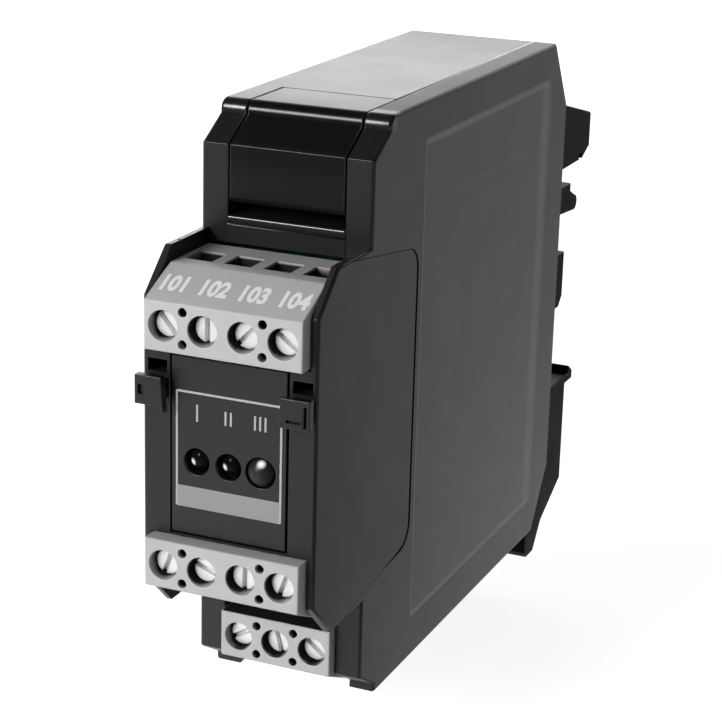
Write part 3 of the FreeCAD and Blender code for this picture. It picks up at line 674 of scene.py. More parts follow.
@dataclass(frozen=True)
class TintedLens(Finish):
    """Dark tinted lens with a faint waviness, and a painted highlight: a soft spot that glows by emission at
    a fixed point.
    """

    colour: Colour
    deep: Colour
    roughness: float
    specular: float
    chip: Point
    chip_mm: float
    chip_core: float = 0.5
    chip_rim: float = 1.5
    chip_fall: float = 1.2
    chip_level: float = 0.95
    wave_scale: float = 900.0
    wave_strength: float = 0.15
    wave_mm: float = 0.01
    rough_waves: Span = (0.2, 0.8)
    rough_rise: float = 1.4

    def fill(self, wiring: Wiring, shader: bpy.types.Node) -> None:
        """Wires tint, painted highlight and waviness into the shader.

        Args:
            wiring: The material's wiring.
            shader: Its Principled shader.
        """
        waves = wiring.effect(Effects.grain(), Scale=self.wave_scale)
        colour = wiring.blend(waves.outputs["Mottle"], opaque(self.colour), opaque(self.deep))
        wiring.feed(colour, shader.inputs["Base Color"])
        # Painted highlight: emission that falls off round a fixed point on the lens, though the lens is no
        # lamp.
        chip = tuple(side * MM for side in self.chip)
        away = wiring.vectors("DISTANCE", wiring.place(), chip).outputs["Value"]
        reach = (self.chip_core * self.chip_mm * MM, self.chip_rim * self.chip_mm * MM)
        glow = wiring.maths("POWER", wiring.spread(away, reach, (1.0, 0.0)), self.chip_fall)
        painted_glint_colour = wiring.blend(glow, opaque(grey(0.0)), opaque(grey(self.chip_level)))
        wiring.feed(painted_glint_colour, shader.inputs["Emission Color"])
        shader.inputs["Emission Strength"].default_value = 1.0
        shader.inputs["Specular IOR Level"].default_value = self.specular
        dull = (self.roughness, self.rough_rise * self.roughness)
        rough = wiring.spread(waves.outputs["Height"], self.rough_waves, dull)
        wiring.feed(rough, shader.inputs["Roughness"])
        normal = wiring.bump(waves.outputs["Height"], self.wave_strength, self.wave_mm * MM)
        wiring.feed(normal, shader.inputs["Normal"])


@dataclass(frozen=True)
class PrintInk(Finish):
    """Matt printing ink that thins out in specks."""

    colour: Colour
    thin: Colour
    roughness: float = 0.5
    thin_roughness: float = 0.65

    def fill(self, wiring: Wiring, shader: bpy.types.Node) -> None:
        """Wires specks into colour and roughness.

        Args:
            wiring: The material's wiring.
            shader: Its Principled shader.
        """
        speck = INK_SPECKS.share(wiring)
        wiring.feed(wiring.blend(speck, opaque(self.colour), opaque(self.thin)), shader.inputs["Base Color"])
        rough = wiring.spread(speck, WHOLE, (self.roughness, self.thin_roughness))
        wiring.feed(rough, shader.inputs["Roughness"])


@dataclass(frozen=True)
class Laminate(Finish):
    """Circuit board or stacked laminations: bands across Z, in patches over a base colour."""

    colour: Colour
    band: Colour
    pitch_mm: float
    roughness: float
    dulling: float = 0.15
    band_rim: Span = (-0.4, 0.4)
    relief_strength: float = 0.3
    relief_mm: float = 0.03

    def fill(self, wiring: Wiring, shader: bpy.types.Node) -> None:
        """Wires bands, patches and a small relief into the shader.

        Args:
            wiring: The material's wiring.
            shader: Its Principled shader.
        """
        height = wiring.parts(wiring.place()).outputs["Z"]
        turns = wiring.maths("MULTIPLY", height, 2.0 * math.pi / (self.pitch_mm * MM))
        wave = wiring.spread(wiring.maths("SINE", turns), self.band_rim, WHOLE)
        patch = BOARD_PATCHES.share(wiring)
        share = wiring.maths("MULTIPLY", wave, patch)
        wiring.feed(wiring.blend(share, opaque(self.colour), opaque(self.band)), shader.inputs["Base Color"])
        rough = wiring.spread(patch, WHOLE, (self.roughness, self.roughness + self.dulling))
        wiring.feed(rough, shader.inputs["Roughness"])
        normal = wiring.bump(wave, self.relief_strength, self.relief_mm * MM)
        wiring.feed(normal, shader.inputs["Normal"])


@dataclass(frozen=True)
class SidePrint:
    """Plain diagram on the side cover: a pale field in a frame, with bars and boxes, in millimetres."""

    y: float = -45.4
    z: float = 0.8
    half_y: float = 23.3
    half_z: float = 31.6
    top: float = 32.3
    foot: float = -30.8
    rear: float = -22.9
    front: float = -68.6
    bars_y: float = -46.0
    bars_half: float = 16.0
    bars_z: tuple[float, ...] = (24.0, -22.0)
    columns: tuple[float, ...] = (-58.0, -47.0, -36.0)
    columns_half: float = 22.0
    boxes_z: float = 8.0
    plates: tuple[float, ...] = (-52.0, -38.0)
    plates_z: float = -10.0
    hair: float = 0.15
    hair_soft: float = 0.3
    faint: float = 0.06

    def frame(self) -> list[Zone]:
        """Gives the pale field and the lines round it.

        Returns:
            The field, and the lines at its top, foot, rear and front.
        """
        return [
            Zone(self.y, self.z, self.half_y, self.half_z, soft=0.4, strength=0.16),
            Zone(self.y, self.top, self.half_y, half_z=0.42, soft=0.35, strength=0.62),
            Zone(self.y, self.foot, self.half_y, half_z=0.32, soft=0.35, strength=0.65),
            Zone(self.rear, self.z, half_y=1.7, half_z=self.half_z, soft=1.6, strength=0.36),
            Zone(self.front, self.z, half_y=0.16, half_z=self.half_z, soft=0.25, strength=0.45),
        ]

    def zones(self) -> tuple[Zone, ...]:
        """Gives all the zones of the print.

        Returns:
            The frame, the bars, the boxes on the columns, the columns, and the plates.
        """
        bars = [Zone(self.bars_y, z, self.bars_half, self.hair, self.hair_soft, strength=0.12)
                for z in self.bars_z]
        boxes = [Zone(y, self.boxes_z, half_y=3.2, half_z=4.5, soft=0.4, strength=self.faint)
                 for y in self.columns]
        columns = [Zone(y, 0.0, self.hair, self.columns_half, self.hair_soft, strength=0.1)
                   for y in self.columns]
        plates = [Zone(y, self.plates_z, half_y=4.0, half_z=2.2, soft=0.5, strength=self.faint)
                  for y in self.plates]
        return (*self.frame(), *bars, *boxes, *columns, *plates)


# Zones that are smoother (positive) or duller (negative) than the rest of their moulding.
LIP_POLISH = Zone(-79.45, 36.5, 0.95, 0.8, soft=0.2, strength=0.17)
SHELF_POLISH = Zone(-84.7, 24.3, 0.45, 0.32, soft=0.1, strength=0.2, half_x=7.65)
SHELF_MATT = Zone(-84.75, 22.0, 0.3, 2.0, soft=0.06, strength=-0.5, half_x=7.65)
REAR_MATT = Zone(0.0, 37.5, 25.0, 0.3, soft=40.0, strength=-0.075, soft_z=0.1)
STRIP_MATT = Zone(-38.0, 37.5, 39.0, 0.3, soft=0.1, strength=-0.12)
FACE_MATT = Zone(-84.9, 33.0, 0.35, 4.0, soft=0.2, strength=-0.45, soft_z=5.0)

# Black mouldings of the housing.
BLACK: Colour = (0.0060, 0.0060, 0.0062)
BLACK_SHEEN: Colour = (0.0080, 0.0080, 0.0082)
HOUSING = MouldedPlastic("housing_black", BLACK, BLACK_SHEEN, roughness=0.42, unevenness=0.015, grain_mm=0.16,
                         relief_mm=0.010, dust=0.012,
                         polish=(LIP_POLISH, SHELF_POLISH, SHELF_MATT, REAR_MATT))
COVER = replace(HOUSING, name="cover_black_printed", prints=SidePrint().zones(),
                polish=(LIP_POLISH, STRIP_MATT))
BLANK = replace(HOUSING, name="blank_black", colour=(0.0028, 0.0028, 0.0029),
                mottled=(0.0038, 0.0038, 0.0039), roughness=0.40, relief_mm=0.008, dust=0.006, specular=0.25,
                polish=(LIP_POLISH, FACE_MATT))
# Rounded edges take lighter, glossier copies of the finishes: the gloss is real, the lighter colour a painted
# highlight.
HOUSING_EDGE = MouldedPlastic("housing_black_edge", grey(0.008), grey(0.011), roughness=0.36, unevenness=0.04,
                              grain_mm=0.16, relief_mm=0.004)
CAP = MouldedPlastic("cap_black", BLACK, BLACK_SHEEN, roughness=0.44, unevenness=0.02, grain_mm=0.14,
                     relief_mm=0.010)
PANEL = MouldedPlastic("panel_black", grey(0.0065), grey(0.0085), roughness=0.38, unevenness=0.02,
                       grain_mm=0.10, relief_mm=0.006)
FOOT = MouldedPlastic("foot_black", grey(0.004), grey(0.006), roughness=0.55, unevenness=0.05, grain_mm=0.2,
                      relief_mm=0.010, specular=0.05)
# Lighter colour on the rounded edges is a painted highlight.
FOOT_EDGE = replace(FOOT, name="foot_black_edge", colour=grey(0.006), mottled=grey(0.009), roughness=0.4,
                    relief_mm=0.004, specular=0.10)

# Plug terminals, with painted shade in their screw wells and wire entries and, on the rear block, on faces
# that look up under the shelf.
TERMINAL = MouldedPlastic("terminal_grey", (0.54, 0.54, 0.53), (0.50, 0.50, 0.49), roughness=0.48,
                          unevenness=0.05, grain_mm=0.12, relief_mm=0.010, specular=0.12, recess=0.985)
REAR_TERMINAL = replace(TERMINAL, name="terminal_grey_rear", top_shade=0.97)
# Lighter colour on the rounded edges is a painted highlight.
TERMINAL_EDGE = replace(TERMINAL, name="terminal_grey_edge", colour=(0.60, 0.60, 0.59),
                        mottled=(0.56, 0.56, 0.55), roughness=0.42, relief_mm=0.005, specular=0.2)
HEADER = MouldedPlastic("header_black", grey(0.02), grey(0.026), roughness=0.5, unevenness=0.05, grain_mm=0.2,
                        relief_mm=0.01)
SCREW = PlatedMetal("screw_bright_zinc", (0.92, 0.92, 0.91), (0.84, 0.84, 0.83), roughness=0.34,
                    stretch=(1.0, 1.0, 1.0), relief_mm=0.006, haze=0.85)
CAGE = PlatedMetal("cage_zinc", (0.66, 0.66, 0.65), (0.5, 0.5, 0.49), roughness=0.34, stretch=(1.0, 1.0, 0.1),
                   relief_mm=0.006)
CONTACT = PlatedMetal("contact_tin", (0.72, 0.7, 0.64), (0.58, 0.56, 0.5), roughness=0.32,
                      stretch=(1.0, 0.1, 1.0), relief_mm=0.004)
PIN = PlatedMetal("pin_tin", (0.76, 0.75, 0.72), (0.62, 0.61, 0.58), roughness=0.28, stretch=(1.0, 0.1, 1.0),
                  relief_mm=0.004)

# Lights, boards, the pieces on them, the clip's spring and the printing inks.
# Each lens has a painted highlight that glows at the given point on its surface.
DARK_LENS = TintedLens("lens_dark_1", grey(0.003), grey(0.005), roughness=0.10, specular=0.05,
                       chip=(-4.92, -99.06, -2.08), chip_mm=0.36)
LENSES = (
    DARK_LENS,
    replace(DARK_LENS, name="lens_dark_2", chip=(-0.77, -99.06, -2.08)),
    TintedLens("lens_frosted", grey(0.014), grey(0.018), roughness=0.34, specular=0.34,
               chip=(4.4, -99.93, -0.5), chip_mm=0.45),
)
RELAY = MouldedPlastic("relay_case_blue_black", (0.02, 0.022, 0.03), (0.026, 0.028, 0.036), roughness=0.3,
                       unevenness=0.05, grain_mm=0.2, relief_mm=0.008)
SLEEVE = MouldedPlastic("capacitor_sleeve", (0.02, 0.03, 0.07), (0.03, 0.04, 0.09), roughness=0.3,
                        unevenness=0.05, grain_mm=0.3, relief_mm=0.01)
BOARD = Laminate("board_green", (0.02, 0.09, 0.035), (0.03, 0.14, 0.055), pitch_mm=1.3, roughness=0.35)
CORE = Laminate("core_laminations", (0.14, 0.14, 0.145), grey(0.2), pitch_mm=0.5, roughness=0.4)
SPRING = PlatedMetal("spring_steel", (0.52, 0.52, 0.53), grey(0.4), roughness=0.3, stretch=(0.1, 1.0, 1.0),
                     relief_mm=0.004)
WHITE_INK = PrintInk("ink_white", grey(0.97), grey(0.90))
LINE_INK = PrintInk("ink_line", grey(0.46), grey(0.38))
GREY_INK = PrintInk("ink_grey", grey(0.30), grey(0.26))


@dataclass(frozen=True)
class Wells:
    """Screw wells of one block: X and Z of each axis, and how far painted light reaches down one side."""

    axes: np.ndarray
    radius: float = 2.15 * MM
    depth: float = 3.7 * MM
    lit: float = 0.95
    lit_side: tuple[float, float] = (0.50, -0.87)


class Forms:
    """Meshes worked out as whole arrays."""

    PATCH_STEPS = 96
    PATCH_POWER = 0.07
    CORNER_STEPS = 7
    BEAD_STEPS = 12
    BEAD_FLATNESS = 1.6

    @staticmethod
    def points_of(mesh: bpy.types.Mesh) -> np.ndarray:
        """Reads a mesh's points.

        Args:
            mesh: The mesh.

        Returns:
            One point per row.
        """
        flat = np.empty(len(mesh.vertices) * 3)
        mesh.vertices.foreach_get("co", flat)
        return flat.reshape(-1, 3)

    @staticmethod
    def grid(name: str, points: np.ndarray, wrap_rows: bool = False) -> bpy.types.Mesh:
        """Closed skin over a grid of points whose columns join up.

        Args:
            name: The mesh's name.
            points: Array of rows, columns and three coordinates, in metres.
            wrap_rows: Joins the last row to the first as well; otherwise both are poles or ends.

        Returns:
            The mesh, with doubles merged and faces outwards.
        """
        rows, columns = points.shape[:2]
        index = np.arange(rows * columns).reshape(rows, columns)
        across = np.roll(index, -1, axis=1)
        down = np.roll(index, -1, axis=0)
        corner = np.roll(down, -1, axis=1)
        quads = np.stack([index, across, corner, down], axis=-1)
        quads = quads if wrap_rows else quads[:-1]
        mesh = bpy.data.meshes.new(name)
        mesh.from_pydata(points.reshape(-1, 3).tolist(), [], quads.reshape(-1, 4).tolist())
        Forms.close(mesh)
        return mesh

    @staticmethod
    def close(mesh: bpy.types.Mesh) -> None:
        """Merges doubles and turns the faces outwards.

        Args:
            mesh: The mesh.
        """
        work = bmesh.new()
        work.from_mesh(mesh)
        bmesh.ops.remove_doubles(work, verts=work.verts, dist=DOUBLES)
        bmesh.ops.recalc_face_normals(work, faces=work.faces)
        work.to_mesh(mesh)
        work.free()

    @staticmethod
    def keep_depth(mesh: bpy.types.Mesh, sides: np.ndarray, wells: Wells) -> None:
        """Keeps on each point how far it lies below the mesh's outer planes, in millimetres, as the mask of
        painted shade.

        Each plane touches the mesh from outside along its normal n, at d = max(n . p); the depth of a point
        is the smallest of d - n . p. Round a screw well's axis, with u the unit vector from the axis to the
        point, the depth shrinks by the share lit * max(0, u . w)^2 towards the lit side w, which paints that
        wall lit.

        Args:
            mesh: The mesh.
            sides: Outward normals of the planes, one per row.
            wells: The screw wells in the mesh.
        """
        points = Forms.points_of(mesh)
        heights = points @ sides.T
        depth = (heights.max(axis=0) - heights).min(axis=1) / MM
        arms = points[:, None, [0, 2]] - wells.axes[None, :, :]
        reach = np.linalg.norm(arms, axis=-1)
        near = reach < wells.radius
        towards = np.clip(arms @ np.array(wells.lit_side) / np.maximum(reach, MERGE), 0.0, 1.0)
        shallow = points[:, 1] < points[:, 1].min() + wells.depth
        depth *= 1.0 - wells.lit * np.where(near, towards ** 2, 0.0).max(axis=1) * shallow
        kept = mesh.attributes.new(DEPTH, "FLOAT", "POINT")
        kept.data.foreach_set("value", depth.astype(np.float32))

    @staticmethod
    def pad(middle: Point, half: Span, sink: float, proud: float) -> np.ndarray:
        """Thin printed patch on a face across Y, as a pillow closed over its underside.

        A superellipse of high power gives the outline, x = a sgn(c)|c|^p and z = b sgn(s)|s|^p; the first
        rows grow it from its centre on top, with a height that falls at the rim, and the last rows close it
        flat underneath.

        Args:
            middle: Centre on the face, in metres.
            half: Half width along X and half height along Z.
            sink: How far the underside lies below the face.
            proud: How far the top stands above it.

        Returns:
            Grid of points.
        """
        turn = np.linspace(0.0, 2.0 * np.pi, Forms.PATCH_STEPS, endpoint=False)
        x = half[0] * np.sign(np.cos(turn)) * np.abs(np.cos(turn)) ** Forms.PATCH_POWER
        z = half[1] * np.sign(np.sin(turn)) * np.abs(np.sin(turn)) ** Forms.PATCH_POWER
        share = np.array([0.0, 0.5, 0.9, 0.97, 1.0, 1.0, 0.5, 0.0])
        height = np.array([proud, proud, proud, 0.8 * proud, 0.3 * proud, -sink, -sink, -sink])
        points = np.empty((share.size, turn.size, 3))
        points[..., 0] = middle[0] + share[:, None] * x
        points[..., 1] = middle[1] - height[:, None]
        points[..., 2] = middle[2] + share[:, None] * z
        return points

    @staticmethod
    def frame_bead(low: Span, high: Span, y: float, line: float, corner: float, sink: float,
                   proud: float) -> np.ndarray:
        """Printed line round a box on a face across Y: a flat-topped profile carried round a closed path.

        The path is the box's outline with quarter-round corners; at each step the profile moves along the
        path's own normal by w cos t and off the face by a clipped sine.

        Args:
            low: Lowest X and Z of the line's middle, in metres.
            high: Highest X and Z of the line's middle.
            y: The face.
            line: Width of the line.
            corner: Radius of the path's corners.
            sink: Depth of the underside below the face.
            proud: Height above the face.

        Returns:
            Grid of points, closed both ways.
        """
        steps = np.linspace(0.0, np.pi / 2.0, Forms.CORNER_STEPS)
        starts = np.array([0.0, 0.5, 1.0, 1.5]) * np.pi
        angle = (starts[:, None] + steps[None, :]).ravel()
        left, right = low[0] + corner, high[0] - corner
        foot, top = low[1] + corner, high[1] - corner
        centre_x = np.repeat([right, left, left, right], steps.size)
        centre_z = np.repeat([top, top, foot, foot], steps.size)
        around = np.linspace(0.0, 2.0 * np.pi, Forms.BEAD_STEPS, endpoint=False)
        reach = corner + 0.5 * line * np.cos(around)
        rise = np.clip(Forms.BEAD_FLATNESS * np.sin(around), -1.0, 1.0)
        height = rise * np.where(rise > 0.0, proud, sink)
        points = np.empty((angle.size, around.size, 3))
        points[..., 0] = centre_x[:, None] + np.cos(angle)[:, None] * reach[None, :]
        points[..., 1] = y - height[None, :]
        points[..., 2] = centre_z[:, None] + np.sin(angle)[:, None] * reach[None, :]
        return points


def everywhere(place: Vector) -> float:
    """Full rounding at every place."""
    return 1.0


def as_made(points: np.ndarray) -> np.ndarray:
    """Leaves every point where it is."""
    return points


class Bench:
    """Where pieces are made, dressed and set on their bodies."""

    BEVEL_STEPS = 2

    def __init__(self, frame: dict) -> None:
        """Keeps the nodes, the travel of each slide joint and the body of each node.

        Args:
            frame: The loaded frame.
        """
        self.nodes = frame["nodes"]
        self.travel = {joint["name"]: joint["range_m"][1] for joint in frame["joints"] if "range_m" in joint}
        groups = frame["record"]["behaviour"]["bodies"]
        self.body = {node: body for body, members in groups.items() for node in members}

    def place(self, name: str, mesh: bpy.types.Mesh, finish: Finish, slot: Slot,
              body: str) -> bpy.types.Object:
        """Makes an object of a mesh and lets it ride.

        Args:
            name: The piece's name.
            mesh: Its mesh, already in place.
            finish: The finish to dress it with.
            slot: The record's slot; not used.
            body: The body that carries it.

        Returns:
            The new object.
        """
        piece = added(name, mesh)
        mesh.materials.clear()
        mesh.materials.append(finish.material())
        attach(piece, body)
        log.info("%s rides on %s", name, body)
        return piece

    def dress(self, node: str, finish: Finish) -> None:
        """Gives a CAD node its finish.

        Args:
            node: The CAD node.
            finish: The finish.
        """
        for holder in self.nodes[node].material_slots:
            holder.material = finish.material()
        log.info("%s dressed", node)

    def merged(self, node: str, where: Callable[[Vector], float],
               reshape: Callable[[np.ndarray], np.ndarray]) -> bpy.types.Mesh:
        """Copies a node's mesh with merged corners, and weighs its outward edges for rounding.

        Args:
            node: The CAD node.
            where: Tells from an edge's middle which share of the rounding it gets, from 0 to 1.
            reshape: Gives the copy's points their places, one point per row.

        Returns:
            The new mesh.
        """
        mesh = self.nodes[node].data.copy()
        mesh.vertices.foreach_set("co", reshape(Forms.points_of(mesh)).ravel())
        work = bmesh.new()
        work.from_mesh(mesh)
        bmesh.ops.remove_doubles(work, verts=work.verts, dist=MERGE)
        bmesh.ops.dissolve_limit(work, angle_limit=FLAT, verts=work.verts, edges=work.edges)
        bmesh.ops.triangulate(work, faces=[face for face in work.faces if len(face.verts) > 4])
        weight = work.edges.layers.float.new("bevel_weight_edge")
        for side in work.edges:
            middle = (side.verts[0].co + side.verts[1].co) / 2
            outward = side.is_convex and side.calc_face_angle() > SHARP
            side[weight] = where(middle) if outward else 0.0
        work.to_mesh(mesh)
        work.free()
        custom = mesh.attributes.get("custom_normal")
        if custom:
            mesh.attributes.remove(custom)
        mesh.shade_smooth()
        mesh.set_sharp_from_angle(angle=SHARP)
        return mesh

    def soften(self, node: str, finish: Finish, edge: Finish, slot: Slot, width: float,
               where: Callable[[Vector], float] = everywhere,
               reshape: Callable[[np.ndarray], np.ndarray] = as_made) -> bpy.types.Object:
        """Replaces a node by a copy with small rounded outward edges.

        Args:
            node: The CAD node.
            finish: Finish of its faces.
            edge: Finish of the rounded edges.
            slot: The record's slot.
            width: Width of the rounding, in metres.
            where: Tells from an edge's middle which share of the rounding it gets, from 0 to 1.
            reshape: Gives the copy's points their places, one point per row.

        Returns:
            The new object.
        """
        mesh = self.merged(node, where, reshape)
        piece = self.place(node + "_skin", mesh, finish, slot, self.body[node])
        mesh.materials.append(edge.material())
        bevel = piece.modifiers.new("rounded_edges", "BEVEL")
        bevel.width = width
        bevel.segments = self.BEVEL_STEPS
        bevel.limit_method = "WEIGHT"
        bevel.use_clamp_overlap = False
        bevel.loop_slide = False
        bevel.harden_normals = True
        bevel.material = 1
        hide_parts(node)
        return piece


@dataclass
class Housing:
    """Tub, side cover and the blank cover of the unused rear place."""

    bench: Bench
    edge: float = 0.2 * MM
    shoulder: float = 22.9 * MM
    slot_end: float = -72.0 * MM
    groove_low: float = 23.45 * MM
    groove_high: float = 23.9 * MM
    seam_x: float = 7.71 * MM
    seam_z: float = 37.4 * MM
    corner_z: float = 33.0 * MM
    corner_share: float = 0.35
    nearness: float = 0.08 * MM

    def on_blank(self, place: Vector) -> float:
        """Share of the rounding on the blank: less along the lower corner of the slope."""
        return self.corner_share if abs(place.z - self.corner_z) < self.nearness else 1.0

    def on_tub(self, place: Vector) -> float:
        """Share of the rounding on tub and side cover: none at flaps, boards and shelf grooves.

        Args:
            place: Middle of an edge.

        Returns:
            The share, which is above 0 on the top seam and on the front's outer edges.
        """
        height = abs(place.z)
        in_groove = self.groove_low < height < self.groove_high
        on_seam = abs(place.x - self.seam_x) < self.nearness and place.z > self.seam_z
        in_front = height > self.shoulder and place.y < self.slot_end and not in_groove
        return self.on_blank(place) if on_seam or in_front else 0.0

    def build(self) -> None:
        """Rounds the edges of the three mouldings and dresses them."""
        self.bench.soften("housing_shell", HOUSING, HOUSING_EDGE, Slot.HOUSING, self.edge, self.on_tub)
        self.bench.soften("side_cover", COVER, HOUSING_EDGE, Slot.HOUSING, self.edge, self.on_tub)
        self.bench.soften("blank_cover", BLANK, HOUSING_EDGE, Slot.HOUSING, self.edge, self.on_blank)


@dataclass(frozen=True)
class Tally:
    """Tally strokes over one light: X of each, lowest and highest Z, in millimetres."""

    strokes: tuple[float, ...]
    low: float
    high: float


@dataclass
class FrontCap:
    """Cap with its hook lugs and the printed insert panel."""

    bench: Bench
    edge: float = 0.12 * MM
    strip_end: float = -99.0 * MM
    frame_low: Span = (-6.76 * MM, -7.5 * MM)
    frame_high: Span = (6.76 * MM, 6.7 * MM)
    line: float = 0.28 * MM
    corner: float = 0.15 * MM
    band_top: float = -5.0 * MM
    sink: float = 0.02 * MM
    proud: float = 0.03 * MM
    band_proud: float = 0.036 * MM
    stroke: float = 0.26 * MM
    tallies: tuple[Tally, ...] = (
        Tally((-4.1,), 3.2, 5.3),
        Tally((-0.4, 0.3), 3.3, 5.0),
        Tally((3.4, 4.06, 4.75), 3.35, 5.1),
    )

    def build(self) -> None:
        """Rounds and dresses the cap and the panel, and prints the panel."""
        self.bench.soften("front_cap", CAP, HOUSING_EDGE, Slot.CAP, self.edge, self.at_front)
        self.bench.soften("front_panel", PANEL, HOUSING_EDGE, Slot.PANEL, self.edge)
        self.print_frame()
        self.print_tallies()

    def at_front(self, place: Vector) -> float:
        """Share of the rounding: full on the front strips and the lugs, none behind them."""
        return float(place.y < self.strip_end)

    def face(self) -> float:
        """Y of the panel's front."""
        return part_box("front_panel")[0].y

    def print_frame(self) -> None:
        """Pale line round the lights, with a grey band along its foot."""
        points = Forms.frame_bead(self.frame_low, self.frame_high, self.face(), self.line, self.corner,
                                  self.sink, self.proud)
        mesh = Forms.grid("panel_frame", points, wrap_rows=True)
        self.bench.place("panel_frame", mesh, LINE_INK, Slot.INK, MODULE)
        low = self.frame_low[1] - self.line / 2
        half = ((self.frame_high[0] - self.frame_low[0] + self.line) / 2, (self.band_top - low) / 2)
        points = Forms.pad((0.0, self.face(), low + half[1]), half, self.sink, self.band_proud)
        self.bench.place("panel_band", Forms.grid("panel_band", points), GREY_INK, Slot.INK, MODULE)

    def print_tallies(self) -> None:
        """Tally strokes over the lights."""
        strokes = [(x, tally.low, tally.high) for tally in self.tallies for x in tally.strokes]
        for number, (x, low, high) in enumerate(strokes, 1):
            name = f"tally_stroke_{number}"
            middle = (x * MM, self.face(), (low + high) / 2 * MM)
            points = Forms.pad(middle, (self.stroke / 2, (high - low) / 2 * MM), self.sink, self.proud)
            self.bench.place(name, Forms.grid(name, points), LINE_INK, Slot.INK, MODULE)


@dataclass
class TerminalRow:
    """One plug block with its screws, cages, contacts, header and printed numbers."""

    bench: Bench
    row: Row
    edge: float = 0.10 * MM
    screw_edge: float = 0.07 * MM
    pitch: float = 5.08 * MM
    label_run: float = 6.3 * MM
    face_height: float = 6.05 * MM
    label_share: float = 0.47
    digit_height: float = 2.55 * MM
    digit_share: float = 0.69
    digit_squeeze: float = 0.70
    digit_weight: float = 0.15 * MM
    digit_steps: int = 4
    sink: float = 0.01 * MM
    proud: float = 0.02 * MM
    mouth_middle: float = 11.1 * MM
    mouth_half: float = 1.6 * MM
    mouth_depth: float = 0.3 * MM
    mouth_front: float = 1.1 * MM
    mouth_rear: float = 0.4 * MM
    mouth_side: float = 0.18 * MM

    def build(self) -> None:
        """Dresses the row's pieces and prints its numbers."""
        word = self.row.word
        finish = REAR_TERMINAL if self.row is Row.REAR else TERMINAL
        block = self.bench.soften("terminal_block_" + word, finish, TERMINAL_EDGE, Slot.TERMINAL, self.edge,
                                  reshape=self.open_mouths)
        slope = self.label_frame()[0].to_3x3().col[2]
        sides = np.vstack([np.eye(3), -np.eye(3), slope])
        # Depth for the painted shade in the wells and wire entries, lit on one side of each well.
        Forms.keep_depth(block.data, sides, Wells(self.screw_axes()))
        for tail in self.row.tails:
            self.bench.soften("clamp_screw_" + tail, SCREW, SCREW, Slot.SCREW, self.screw_edge)
            self.bench.dress("clamp_cage_" + tail, CAGE)
        self.bench.dress("contact_strips_" + word, CONTACT)
        self.bench.dress("pin_header_" + word, HEADER)
        self.bench.dress("header_pins_" + word, PIN)
        self.print_numbers()

    def screw_axes(self) -> np.ndarray:
        """X and Z of each screw's axis, one per row."""
        boxes = [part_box("clamp_screw_" + tail) for tail in self.row.tails]
        return np.array([((low.x + high.x) / 2, (low.z + high.z) / 2) for low, high in boxes])

    def open_mouths(self, points: np.ndarray) -> np.ndarray:
        """Widens the mouths of the wire entries, so that each shaft is a funnel.

        The corners of a mouth lie within mouth_depth of the face it opens in, and within mouth_half of its
        middle line. Those in front of that line move forwards by mouth_front and the others back by
        mouth_rear, and all move away from the nearest screw's axis by mouth_side.

        Args:
            points: The block's points, one per row.

        Returns:
            The points with the mouths widened.
        """
        low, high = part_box("terminal_block_" + self.row.word)
        face = high.z if self.row is Row.UPPER else low.z
        behind = points[:, 1] - low.y - self.mouth_middle
        at_mouth = (np.abs(points[:, 2] - face) < self.mouth_depth) & (np.abs(behind) < self.mouth_half)
        across = points[:, :1] - self.screw_axes()[None, :, 0]
        nearest = np.abs(across).argmin(axis=1)
        outwards = np.sign(np.take_along_axis(across, nearest[:, None], axis=1)[:, 0])
        moved = points.copy()
        moved[:, 0] += at_mouth * outwards * self.mouth_side
        moved[:, 1] += at_mouth * np.where(behind < 0.0, -self.mouth_front, self.mouth_rear)
        return moved

    def label_frame(self) -> tuple[Matrix, Vector]:
        """Finds the label slope, which lies over the screws on the upper block and under them on the others.

        Returns:
            Its axes, with X across, Y up the slope as it is read and Z off it, and its middle.
        """
        low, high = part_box("terminal_block_" + self.row.word)
        upper = self.row is Row.UPPER
        sign = 1.0 if upper else -1.0
        base, top = (low.z, high.z) if upper else (high.z, low.z)
        front = Vector((0.0, low.y, base + sign * self.face_height))
        rear = Vector((0.0, low.y + self.label_run, top))
        up = (rear - front).normalized()
        across = Vector((sign, 0.0, 0.0))
        axes = Matrix((across, up, across.cross(up))).transposed().to_4x4()
        return axes, front.lerp(rear, self.label_share)

    def figures(self, name: str, number: int) -> bpy.types.Mesh:
        """Makes a number as a thin plate, flat at the origin.

        Args:
            name: The piece's name.
            number: The number.

        Returns:
            Its mesh.
        """
        curve = bpy.data.curves.new(name, "FONT")
        curve.body = str(number)
        curve.align_x = "CENTER"
        curve.align_y = "CENTER"
        curve.size = self.digit_height / self.digit_share
        curve.extrude = (self.sink + self.proud) / 2
        curve.offset = self.digit_weight
        curve.resolution_u = self.digit_steps
        text = added(name + "_text", curve)
        bpy.context.view_layer.update()
        graph = bpy.context.evaluated_depsgraph_get()
        mesh = bpy.data.meshes.new_from_object(text.evaluated_get(graph))
        bpy.data.objects.remove(text)
        return mesh

    def print_numbers(self) -> None:
        """White numbers on the label slope, one over each screw."""
        axes, middle = self.label_frame()
        lift = Matrix.Translation((0.0, 0.0, (self.proud - self.sink) / 2))
        squeeze = Matrix.Diagonal((self.digit_squeeze, 1.0, 1.0, 1.0))
        for place, tail in enumerate(self.row.tails):
            name = "number_" + tail
            mesh = self.figures(name, self.row.first + place)
            x = self.pitch * (place - (self.row.poles - 1) / 2)
            mesh.transform(Matrix.Translation(middle + Vector((x, 0.0, 0.0))) @ axes @ lift @ squeeze)
            Forms.close(mesh)
            self.bench.place(name, mesh, WHITE_INK, Slot.INK, MODULE)


